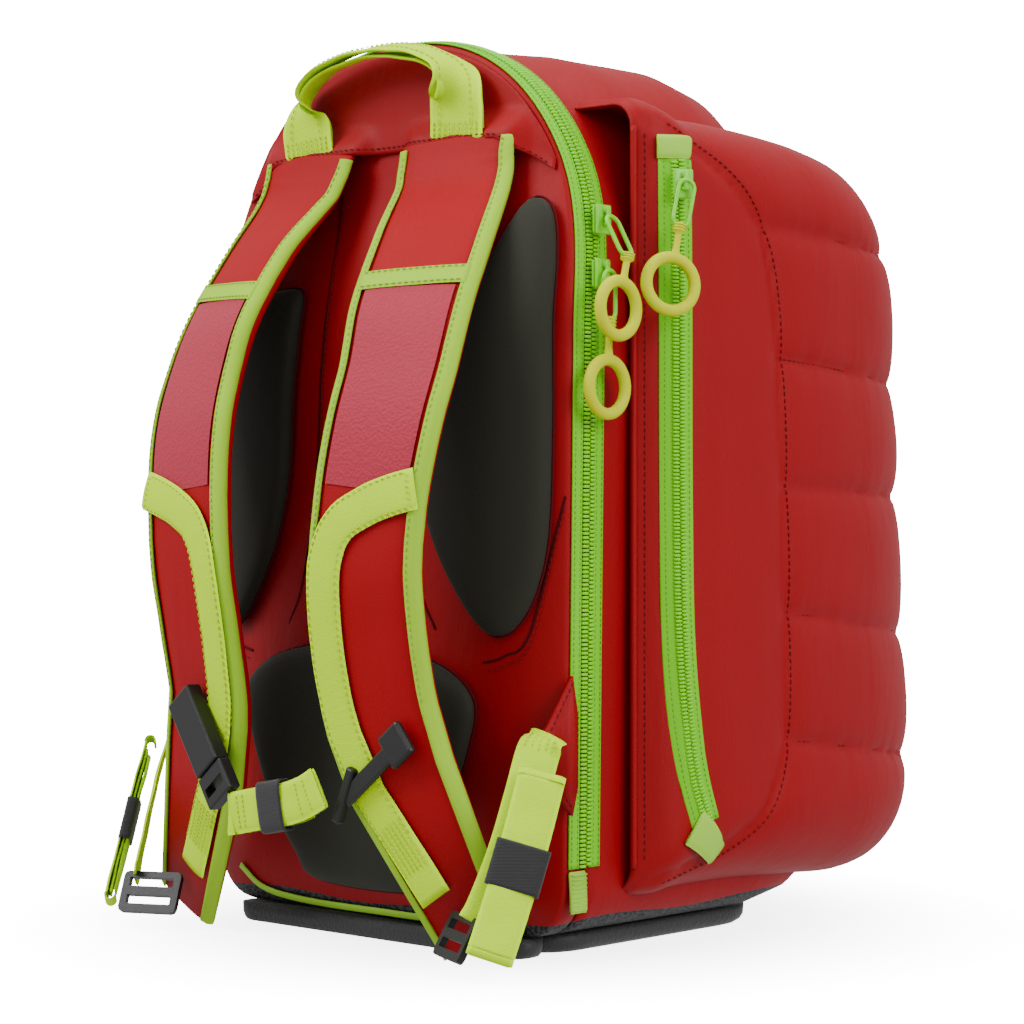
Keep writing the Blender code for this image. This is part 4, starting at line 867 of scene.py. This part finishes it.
# yoke over the strap ends, sewn along its lower edge
cols, rows = 121, 26
verts, edge_pts = [], []
for i in range(rows):
    t = i / (rows - 1)
    for j in range(cols):
        s = -1 + 2 * j / (cols - 1)
        low = 0.4675 - 0.020 * max(0.0, abs(s) - 0.72) / 0.28
        x = s * 0.1285
        k = min(0.9995, abs(x) / (CASE_HALF_W - 0.001))
        arch = ARCH_Z + (ARCH_RISE - 0.0035) * (1 - k**ARCH_POWER) ** (1 / ARCH_POWER)
        z = low + (arch - low) * t
        over = 1 / (1 + math.exp((abs(x) - 0.1065) / 0.0028)) / (1 + math.exp((0.0185 - abs(x)) / 0.0028))
        bump = 0.0100 * over * max(0.0, 1 - max(0.0, z - 0.4690) / 0.019) ** 2 * (3 - 2 * max(0.0, 1 - max(0.0, z - 0.4690) / 0.019))
        y = back_y(x, z) - 0.0014 - bump - 0.0006 * wobble((x, 0, z), 30, 8.0) * math.sin(math.pi * min(1, t * 1.0))
        verts.append((x, y, z))
yoke = make("yoke_panel", verts, grid_faces(rows, cols, False), "red")
mod = yoke.modifiers.new("cloth", "SOLIDIFY")
mod.thickness, mod.offset = 0.0012, 0
put(yoke, "harness", "coated_fabric")
line = np.array([Vector(verts[cols + j]) + Vector((0, -0.0008, 0.0012)) for j in range(2, cols - 2)])
put(stitches("yoke_stitch", line, (0, -1, 0), "thread"), "harness", "coated_fabric")

# ---------------------------------------------------------------- shoulder straps
STRAP = [
    (0.470, -0.0165, 0.0625, 5, 0.082, 0.0060), (0.455, -0.0210, 0.0640, 6, 0.080, 0.0070), (0.440, -0.0280, 0.0675, 8, 0.079, 0.0090),
    (0.412, -0.0490, 0.0745, 13, 0.077, 0.0120), (0.372, -0.0735, 0.0805, 13, 0.077, 0.013), (0.337, -0.0870, 0.0835, 10, 0.076, 0.013),
    (0.302, -0.0980, 0.0820, 8, 0.076, 0.013), (0.262, -0.1040, 0.0780, 7, 0.075, 0.013), (0.222, -0.1050, 0.0745, 7, 0.075, 0.013),
    (0.182, -0.0995, 0.0725, 8, 0.076, 0.013), (0.142, -0.0920, 0.0735, 9, 0.0765, 0.013), (0.107, -0.0860, 0.0830, 9, 0.075, 0.013),
    (0.069, -0.0795, 0.0975, 9, 0.070, 0.0110), (0.032, -0.0690, 0.1150, 9, 0.060, 0.0090), (0.014, -0.0630, 0.1240, 9, 0.052, 0.0070)]
LINE = smooth_path(STRAP, 170)


def strap_frame(sign):
    path = np.stack([sign * LINE[:, 2], LINE[:, 1], LINE[:, 0]], 1)
    yaw = np.radians(LINE[:, 3])
    sides = np.stack([np.cos(yaw), sign * np.sin(yaw), 0 * yaw], 1)
    t = unit(np.gradient(path, axis=0))
    w = unit(sides - t * np.sum(sides * t, 1, keepdims=True))
    n = np.cross(t, w)
    n = n * np.where(n[:, 1:2] > 0, -1, 1)
    return path, w, n, LINE[:, 4], LINE[:, 5]


STRAPS = {s: strap_frame(s) for s in (1, -1)}


def strap_at(sign, z, share, lift=0.0):
    """A point over a strap's outer face and the outward direction there; share runs from -0.5 inside to 0.5 outside."""
    path, w, n, wide, thick = STRAPS[sign]
    order = np.argsort(path[:, 2])
    pick = lambda v: np.array([np.interp(z, path[order, 2], v[order, k]) for k in range(3)])
    width = float(np.interp(z, path[order, 2], wide[order]))
    out = unit(pick(n))
    puff = 0.0016 * (1 - (2 * share) ** 4)
    return pick(path) + pick(w) * (sign * share * width) + out * (lift + puff), out


def strap_line(sign, zs, shares, lift=0.0, count=100):
    pts = smooth_path(list(zip(zs, shares)), count)
    got = [strap_at(sign, z, s, lift) for z, s in pts]
    return np.array([g[0] for g in got]), np.array([g[1] for g in got])


for side, sign in (("right", 1), ("left", -1)):
    path, w, n, wide, thick = STRAPS[sign]
    rings = []
    for k in range(len(path)):
        h, th = wide[k] / 2, thick[k]
        ring = []
        for a in np.linspace(0, 2 * math.pi, 56, endpoint=False):
            ca, sa = math.cos(a), math.sin(a)
            u = math.copysign(abs(ca) ** 0.42, ca)
            v = math.copysign(abs(sa) ** 0.62, sa)
            puff = 0.0016 * (1 - u**4) if v > 0 else 0.0
            fold = 0.0007 * wobble(path[k] + w[k] * u * h, 26, 4 + sign) * (1 - u**4)
            ring.append(path[k] + w[k] * (u * h) + n[k] * (-th / 2 + v * th / 2 + puff + fold))
        rings.append(ring)
    body = loft("strap_body", rings, "red_strap")
    put(body, "harness", "strap_fabric", "shoulder_strap_" + side)
    extras = []
    # folded binding over both edges, from the outer face down the side
    for edge in (-1, 1):
        rings = []
        for k in range(2, len(path)):
            h, th = wide[k] / 2, thick[k]
            ring = []
            g = 0.0006
            shape = [(h - 0.0058, 0.0016 * (1 - ((h - 0.0058) / h) ** 4)), (h - 0.0036, 0.0004), (h - 0.0014, -th * 0.06), (h + 0.0002, -th * 0.20), (h + 0.0006, -th * 0.42)]
            outer = [(a + (0.0010 if i >= 2 else 0), b + (0.0011 if i < 3 else 0)) for i, (a, b) in enumerate(shape)]
            inner = [(a - (0.0016 if i >= 2 else 0), b - (0.0012 if i < 3 else 0)) for i, (a, b) in enumerate(outer)]
            for a, b in outer + inner[::-1]:
                ring.append(path[k] + w[k] * (edge * sign * a) + n[k] * (b + 0.0003 * wobble(path[k], 60, edge)))
            rings.append(ring)
        extras.append(loft("binding", rings, "lime"))
        share = lambda k: edge * (0.5 - 0.0042 / wide[k])
        line = np.array([path[k] + w[k] * (sign * share(k) * wide[k]) + n[k] * 0.0016 for k in range(4, len(path) - 2)])
        extras.append(stitches("binding_stitch", line, n[4:-2], "lime_thread", 0.0026, 0.0014))
    # cross band at the top of the mesh panel
    pts, out = strap_line(sign, [0.3835, 0.3855], [-0.455, 0.455], 0.0004, 30)
    extras.append(ribbon("cross_band", pts, out, 0.0125, 0.0012, "lime"))
    for dz in (-0.0040, 0.0040):
        p2, o2 = strap_line(sign, [0.3835 + dz, 0.3855 + dz], [-0.44, 0.44], 0.0018, 30)
        extras.append(stitches("cross_stitch", p2, o2, "lime_thread"))
    # mesh panel
    rows_m, cols_m, verts = 40, 16, []
    for z in np.linspace(0.3790, 0.2660, rows_m):
        for s in np.linspace(-0.385, 0.385, cols_m):
            p, o = strap_at(sign, z, s, 0.0006)
            verts.append(p)
    panel = make("mesh_panel", verts, grid_faces(rows_m, cols_m, False), "mesh")
    extras.append(panel)
    put(joined("strap_trim_" + side, extras), "harness", "strap_fabric")

    # webbing across the strap and down its inner side, sewn at both ends
    pts, out = strap_line(sign, [0.2700, 0.2640, 0.2560, 0.2440, 0.2240, 0.1900, 0.1500, 0.1120, 0.0750, 0.0430],
                          [0.47, 0.25, 0.02, -0.20, -0.31, -0.33, -0.31, -0.27, -0.21, -0.15], 0.0009, 130)
    rail = ribbon("rail_web", pts, out, 0.0235, 0.0017, "neon", camber=0.0010, ripple=0.0004, seed=sign)
    bits = [rail]
    t, nn, ww = frames(pts, out)
    for k0, k1 in ((4, 12), (118, 126), (30, 34)):
        for a in (-0.0085, -0.0050, -0.0015, 0.0015, 0.0050, 0.0085):
            bits.append(stitches("bartack", pts[k0:k1] + ww[k0:k1] * a + nn[k0:k1] * 0.0030, nn[k0:k1], "neon_thread", 0.0022, 0.0006))
    for a in (-0.0098, 0.0098):
        bits.append(stitches("rail_stitch", pts[8:122] + ww[8:122] * a + nn[8:122] * 0.0021, nn[8:122], "neon_thread"))
    put(joined("rail_cloth_" + side, bits), "harness", "webbing", "sternum_rail_" + side)

# ---------------------------------------------------------------- carry handle: doubled webbing, gathered along the top
HX, HZ = 0.0625, 0.4735
HANDLE = [(HX, -0.0150, HZ - 0.004), (0.0636, -0.0165, 0.4870), (0.0636, -0.0180, 0.5000), (0.0582, -0.0205, 0.5120), (0.0430, -0.0225, 0.5205), (0.0220, -0.0225, 0.5255), (0.0, -0.0225, 0.5270)]
hl = smooth_path(HANDLE + [(-x, y, z) for x, y, z in HANDLE[-2::-1]], 150)
turned = np.clip((hl[:, 2] - 0.484) / 0.034, 0, 1)
turned = turned * turned * (3 - 2 * turned)
ht = unit(np.gradient(hl, axis=0))
side_dir = np.stack([np.sign(hl[:, 0]) * (1 - turned) * -1, 0 * turned, 0 * turned], 1)
out_flat = np.array([0.0, -1.0, 0.0])
up = np.stack([hl[:, 0] * 6, -0.25 + 0 * turned, 0.9 + 0 * turned], 1)
out_dir = unit(out_flat * (1 - turned)[:, None] + unit(up) * turned[:, None])
bits = [ribbon("handle_outer", hl, out_dir, 0.0420 - 0.020 * turned, 0.0019 + 0.0006 * turned, "neon", lift=0.0002, camber=-0.0008, ripple=0.0009, seed=2.0),
        ribbon("handle_inner", hl - out_dir * (0.0020 + 0.0014 * turned)[:, None], out_dir, 0.0395 - 0.021 * turned, 0.0018, "neon", camber=-0.0014, ripple=0.0011, seed=5.0)]
t, nn, ww = frames(hl, out_dir)
for a in (-0.30, 0.30):
    wd = (0.0420 - 0.020 * turned)[:, None]
    bits.append(stitches("handle_stitch", (hl + ww * wd * a + nn * 0.0024)[6:-6], nn[6:-6], "neon_thread"))
for end in (slice(1, 9), slice(-9, -1)):
    for a in np.linspace(-0.017, 0.017, 9):
        bits.append(stitches("handle_tack", hl[end] + ww[end] * a + nn[end] * 0.0022, nn[end], "neon_thread", 0.0024, 0.0006))
put(joined("handle_cloth", bits), "handle", "webbing", "carry_handle")

# ---------------------------------------------------------------- sliders, loops and soft ring pulls
SETS = {
    "main_upper": (1, 0.0, (0.1497, 0.0080, 0.4180), (0.1597, 0.008, 0.419), (0.17255, 0.008, 0.39674), (-0.008, -0.0300), "zip_slider_upper", "zip_loop_upper", "zip_ring_upper"),
    "main_lower": (1, 0.0, (0.1532, 0.0033, 0.3870), (0.1632, 0.0033, 0.388), (0.1632, 0.0033, 0.3613), (-0.002, -0.0380), "zip_slider_lower", "zip_slider_lower", "zip_ring_lower"),
    "pocket_right": (1, -24.0, (0.17345, 0.05257, 0.44), (0.18259, 0.04851, 0.441), (0.18244, 0.0415, 0.41524), (-0.008, -0.0335), "pocket_slider_right", "pocket_loop_right", "pocket_ring_right"),
    "pocket_left": (-1, 24.0, (-0.17345, 0.05257, 0.44), (-0.18259, 0.04851, 0.441), (-0.18244, 0.0415, 0.41524), (-0.008, -0.0335), "pocket_slider_left", "pocket_loop_left", "pocket_ring_left"),
}


def rounded_block(name, size, bevel, mat, segments=4):
    work = bmesh.new()
    bmesh.ops.create_cube(work, size=1.0)
    bmesh.ops.scale(work, vec=size, verts=work.verts)
    bmesh.ops.bevel(work, geom=list(work.edges), offset=bevel, segments=segments, affect="EDGES", profile=0.5)
    mesh = bpy.data.meshes.new(name)
    work.to_mesh(mesh)
    work.free()
    mesh.shade_smooth()
    mesh.materials.append(M[mat])
    obj = bpy.data.objects.new(name, mesh)
    COLLECTION.objects.link(obj)
    return obj


for tag, (sign, yaw, anchor, pivot, eye, drop, b_slider, b_loop, b_ring) in SETS.items():
    turn = Matrix.Rotation(math.radians(yaw), 4, "Z")
    here = Matrix.Translation(Vector(anchor)) @ turn
    parts = []
    for size, at, bev in (((0.0022, 0.0118, 0.0168), (0.0046, 0, 0), 0.0010), ((0.0018, 0.0106, 0.0150), (0.0018, 0, 0), 0.0008), ((0.0046, 0.0030, 0.0040), (0.0032, 0, 0.0058), 0.0010), ((0.0030, 0.0034, 0.0030), (0.0066, 0, 0.0050), 0.0010), ((0.0016, 0.0034, 0.0110), (0.0086, 0, 0.0016), 0.0007), ((0.0030, 0.0034, 0.0024), (0.0066, 0, -0.0030), 0.0010)):
        o = rounded_block("slider_bit", size, bev, "slider")
        o.matrix_world = here @ Matrix.Translation(Vector((sign * at[0], at[1], at[2])))
        bpy.context.view_layer.update()
        parts.append(o)
    put(joined("slider_" + tag + "_look", parts), b_slider, "zip_hardware", "slider_" + tag)
    # loop: a flattened wire stadium hanging from the pivot to the eye
    p0, p1 = Vector(pivot), Vector(eye)
    down = (p1 - p0).normalized()
    across = turn.to_3x3() @ Vector((0, 1, 0))
    across = (across - down * across.dot(down)).normalized()
    top = p0 + down * -0.0006
    length = (p1 - p0).length + 0.0012
    loop = []
    r = 0.0049
    for a in np.linspace(0, math.pi, 14):
        loop.append(top + down * (r - r * math.sin(a)) + across * (r * math.cos(a)))
    for a in np.linspace(math.pi, 2 * math.pi, 14):
        loop.append(top + down * (length - r - r * math.sin(a)) + across * (r * math.cos(a)))
    bits = [tube("loop_wire", resample(loop, 90, True), 0.00125, "slider", 10, closed=True)]
    put(joined("loop_" + tag + "_look", bits), b_loop, "zip_hardware", "pull_loop_" + tag)
    # ring: collar round the loop's bar, ribbed stem and ring
    mid = p1 + Vector((0, drop[0], drop[1]))
    flat = turn.to_3x3() @ Vector((1, 0, 0))
    stem = (mid - p1).normalized()
    side_v = flat.cross(stem).normalized()
    circle = [mid + stem * (0.0152 * math.cos(a)) + side_v * (0.0152 * math.sin(a)) for a in np.linspace(0, 2 * math.pi, 72, endpoint=False)]
    bits = [tube("ring", circle, 0.0034, "silicone", 20, closed=True)]
    a0, a1 = p1 + stem * -0.0015, mid - stem * 0.0150
    stem_path = [a0 + (a1 - a0) * f for f in np.linspace(0, 1, 24)]
    rad = [0.0034 if f < 0.30 else 0.0020 + 0.0012 * max(0.0, (f - 0.72) / 0.28) for f in np.linspace(0, 1, 24)]
    rad[0] = 0.0024
    bits.append(tube("stem", [tuple(p) for p in stem_path], rad, "silicone", 16))
    for f in (0.05, 0.13, 0.21):
        c = a0 + (a1 - a0) * f
        hoop = [c + flat * (0.0034 * math.cos(a)) + side_v * (0.0034 * math.sin(a)) for a in np.linspace(0, 2 * math.pi, 24, endpoint=False)]
        bits.append(tube("rib", hoop, 0.0006, "silicone", 8, closed=True))
    put(joined("ring_" + tag + "_look", bits), b_ring, "soft_ring", "ring_pull_" + tag)

# ---------------------------------------------------------------- lower adjusters: wing, web, folded tail, keeper
for side, sign in (("right", 1), ("left", -1)):
    tri = smooth_path([(-0.0165, 0.162), (-0.0300, 0.143), (-0.0420, 0.126), (-0.0432, 0.114), (-0.0300, 0.099), (-0.0165, 0.084)], 40)
    rings = [[(sign * x, y, z) for y, z in tri] for x in (0.1505, 0.1518, 0.1532)]
    wing = loft("wing", [[(sign * x, y, z) for y, z in list(tri) + [(-0.012, 0.1), (-0.012, 0.14)]] for x in (0.1506, 0.1534)], "red")
    edge = np.array([(sign * 0.1536, y * 0.93 - 0.0006, 0.123 + (z - 0.123) * 0.93) for y, z in tri])
    wing = joined("wing_" + side, [wing, stitches("wing_stitch", edge, (sign, 0, 0), "thread")])
    put(wing, "harness", "coated_fabric", "strap_wing_" + side)
    side_vec = np.array([sign * 0.62, 0.72, 0.30])
    web = smooth_path([(sign * 0.1535, -0.0360, 0.1290), (sign * 0.1528, -0.0440, 0.1220), (sign * 0.1535, -0.0545, 0.0990), (sign * 0.1515, -0.0660, 0.0680), (sign * 0.1470, -0.0780, 0.0390), (sign * 0.1440, -0.0830, 0.0290)], 70)
    t = unit(np.gradient(web, axis=0))
    wv = unit(side_vec - t * (t @ side_vec)[:, None])
    outv = np.cross(t, wv)
    outv = outv if outv[30] @ np.array([sign, -0.6, 0]) > 0 else -outv
    bits = [ribbon("web", web, outv, 0.0245, 0.0018, "neon", camber=0.0014, ripple=0.0007, seed=3 + sign)]
    for k in ((2, 9),):
        for a in (-0.008, -0.004, 0, 0.004, 0.008):
            bits.append(stitches("tack", web[k[0]:k[1]] + wv[k[0]:k[1]] * a + outv[k[0]:k[1]] * 0.0030, outv[k[0]:k[1]], "neon_thread", 0.002, 0.0006))
    put(joined("adjuster_web_look_" + side, bits), "harness", "webbing", "adjuster_web_" + side)
    tail = smooth_path([(sign * 0.1655, -0.0560, 0.1080), (sign * 0.1650, -0.0680, 0.0760), (sign * 0.1630, -0.0800, 0.0440), (sign * 0.1610, -0.0910, 0.0170)], 60)
    t = unit(np.gradient(tail, axis=0))
    wv = unit(side_vec - t * (t @ side_vec)[:, None])
    outv = np.cross(t, wv)
    outv = outv if outv[30] @ np.array([sign, -0.6, 0]) > 0 else -outv
    bits = []
    # a flattened loop: outer layers and two inner layers, closed at both ends by folds
    for k, (lift, cut, wide) in enumerate(((0.0014, 0, 0.0262), (-0.0004, 3, 0.0250), (-0.0024, 5, 0.0256))):
        seg = tail[cut:len(tail) - (cut // 2)]
        bits.append(ribbon("tail_layer", seg, outv[cut:len(tail) - (cut // 2)], wide, 0.0015, "neon", lift=lift, camber=0.0010 - 0.0008 * k, ripple=0.0008, seed=k * 3 + sign))
    for end, d in ((0, -1), (-1, 1)):
        c = tail[end] + outv[end] * 0.0000
        arc = [c + t[end] * (d * 0.0030 * math.sin(a)) + outv[end] * (0.0024 * math.cos(a)) for a in np.linspace(0, math.pi, 14)]
        bits.append(ribbon("tail_fold", arc, [tuple(unit(np.array(p) - c)) for p in arc], 0.0262, 0.0014, "neon"))
    put(joined("adjuster_tail_look_" + side, bits), "harness", "webbing", "adjuster_tail_" + side)
    mid = tail[30]
    tt, wm, om = t[30], wv[30], outv[30]
    rings = []
    for f in np.linspace(-0.0128, 0.0128, 14):
        ring = []
        for a in np.linspace(0, 2 * math.pi, 40, endpoint=False):
            ca, sa = math.cos(a), math.sin(a)
            u, v = math.copysign(abs(ca) ** 0.45, ca), math.copysign(abs(sa) ** 0.55, sa)
            ring.append(mid + tt * f + wm * (u * 0.0152) + om * (v * 0.0042))
        rings.append(ring)
    keeper = loft("keeper_" + side, rings, "elastic", False, False)
    km = keeper.modifiers.new("cloth", "SOLIDIFY")
    km.thickness, km.offset = 0.0010, -1
    put(keeper, "harness", "elastic", "adjuster_keeper_" + side)

# ---------------------------------------------------------------- chest strap webbing: folded, with a loop behind, and its elastic keeper
cw = smooth_path([(-0.0262, -0.1072, 0.0795), (-0.008, -0.1067, 0.0832), (0.0145, -0.1047, 0.0875), (0.030, -0.1042, 0.0925), (0.0410, -0.1035, 0.0985)], 60)
bits = [ribbon("chest_front", cw, (0, -1, 0), 0.0245, 0.0017, "neon", lift=0.0012, camber=0.0010, ripple=0.0008, seed=1.0),
        ribbon("chest_mid", cw, (0, -1, 0), 0.0240, 0.0015, "neon", lift=-0.0008, ripple=0.0008, seed=4.0),
        ribbon("chest_rear", cw[6:50], (0, -1, 0), 0.0250, 0.0015, "neon", lift=-0.0028, camber=-0.0010, ripple=0.0010, seed=6.0)]
fold = [(-0.0262 - 0.0036 * math.sin(a), -0.1072 - 0.0026 * math.cos(a), 0.0795 - 0.001 * math.sin(a)) for a in np.linspace(0, math.pi, 12)]
bits.append(ribbon("chest_fold", fold, [(-math.sin(a), -math.cos(a), 0) for a in np.linspace(0, math.pi, 12)], 0.0245, 0.0015, "neon"))
t, nn, ww = frames(cw, (0, -1, 0))
for k in (5, 9, 46, 52):
    seg = np.array([cw[k] + ww[k] * a + nn[k] * 0.0036 for a in np.linspace(-0.010, 0.010, 12)])
    bits.append(stitches("chest_tack", seg, nn[k], "neon_thread", 0.0020, 0.0008))
put(joined("chest_web_look", bits), "chest_right", "webbing", "sternum_webbing")
rings = []
for f in np.linspace(-0.0088, 0.0088, 12):
    ring = []
    c = cw[27] + t[27] * f
    for a in np.linspace(0, 2 * math.pi, 40, endpoint=False):
        ca, sa = math.cos(a), math.sin(a)
        u, v = math.copysign(abs(ca) ** 0.45, ca), math.copysign(abs(sa) ** 0.55, sa)
        ring.append(c + ww[27] * (u * 0.0150) + nn[27] * (v * 0.0058))
    rings.append(ring)
keeper = loft("chest_keeper", rings, "elastic", False, False)
km = keeper.modifiers.new("cloth", "SOLIDIFY")
km.thickness, km.offset = 0.0011, -1
put(keeper, "chest_right", "elastic", "sternum_keeper")

# moulded hardware keeps its CAD form, given a black plastic finish
for node in ("sternum_slider_right", "sternum_socket", "sternum_plug", "ladder_lock_left", "ladder_lock_right"):
    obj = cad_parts[node]
    for k in range(len(obj.material_slots)):
        obj.material_slots[k].material = M["black"]


# ---------------------------------------------------------------- light, floor and camera
def area(name, where, aim, size, power, rgb=(1, 1, 1)):
    data = bpy.data.lights.new(name, "AREA")
    data.shape = "RECTANGLE"
    data.size, data.size_y = size
    data.energy = power
    data.color = rgb
    obj = bpy.data.objects.new(name, data)
    COLLECTION.objects.link(obj)
    obj.location = where
    obj.rotation_euler = (Vector(aim) - Vector(where)).to_track_quat("-Z", "Y").to_euler()
    return obj


world = bpy.data.worlds.new("white") if bpy.context.scene.world is None else bpy.context.scene.world
bpy.context.scene.world = world
world.use_nodes = True
bg = world.node_tree.nodes.get("Background") or world.node_tree.nodes.new("ShaderNodeBackground")
bg.inputs[0].default_value = (1, 1, 1, 1)
bg.inputs[1].default_value = 0.95
area("key", (-1.2, -2.0, 2.2), (0, 0, 0.25), (1.5, 1.5), 96)
area("side", (2.6, -0.2, 1.4), (0.1, 0.1, 0.25), (1.3, 1.7), 58)
area("top", (0.2, 0.2, 2.4), (0, 0, 0.3), (1.6, 1.6), 34)

floor_mat, tree, shader = nodes_of("floor_white_painted_shadow")
shader.inputs["Base Color"].default_value = (1, 1, 1, 1)
shader.inputs["Roughness"].default_value = 0.9
shader.inputs["Specular IOR Level"].default_value = 0.1
shader.inputs["Emission Color"].default_value = (1, 1, 1, 1)
# the floor glows white away from the pack; near the pack its glow is turned down, a painted soft shadow over the faint
# real one
new = tree.nodes.new
coords = new("ShaderNodeTexCoord").outputs["Object"]
mapping = new("ShaderNodeMapping")
mapping.inputs["Location"].default_value = (0.0, -0.10, 0.0)
link(tree, coords, mapping.inputs["Vector"])
dist = new("ShaderNodeVectorMath")
dist.operation = "LENGTH"
link(tree, mapping.outputs["Vector"], dist.inputs[0])
# painted shadow: emission falls from 18 far out to 4.6 close to the pack
ramp = new("ShaderNodeMapRange")
ramp.interpolation_type = "SMOOTHSTEP"
ramp.inputs["From Min"].default_value = 0.13
ramp.inputs["From Max"].default_value = 0.42
ramp.inputs["To Min"].default_value = 4.6
ramp.inputs["To Max"].default_value = 18.0
link(tree, dist.outputs["Value"], ramp.inputs["Value"])
link(tree, ramp.outputs["Result"], shader.inputs["Emission Strength"])
M["floor"] = floor_mat
floor = make("floor", [(-12, -12, -0.0004), (12, -12, -0.0004), (12, 12, -0.0004), (-12, 12, -0.0004)], [(0, 1, 2, 3)], "floor", False)
floor.visible_diffuse = False
floor.visible_glossy = False
back_mat, tree2, shader2 = nodes_of("backdrop_white")
shader2.inputs["Base Color"].default_value = (1, 1, 1, 1)
shader2.inputs["Emission Color"].default_value = (1, 1, 1, 1)
shader2.inputs["Emission Strength"].default_value = 18.0
M["backdrop"] = back_mat
f, r = np.array([-math.sin(math.radians(43)), math.cos(math.radians(43)), 0]), np.array([math.cos(math.radians(43)), math.sin(math.radians(43)), 0])
c0 = f * 9.0
backdrop = make("backdrop", [c0 - r * 9 + np.array([0, 0, -0.1]), c0 + r * 9 + np.array([0, 0, -0.1]), c0 + r * 9 + np.array([0, 0, 7]), c0 - r * 9 + np.array([0, 0, 7])], [(0, 1, 2, 3)], "backdrop", False)
backdrop.visible_diffuse = False
backdrop.visible_glossy = False

cam_data = bpy.data.cameras.new("camera")
cam_data.lens = 96.68
cam_data.sensor_width = 36
cam_data.clip_start = 0.05
camera = bpy.data.objects.new("camera", cam_data)
COLLECTION.objects.link(camera)
camera.location = (1.1729, -1.1596, 0.2533)
camera.rotation_euler = (math.pi / 2, 0, math.radians(43))
bpy.context.scene.camera = camera
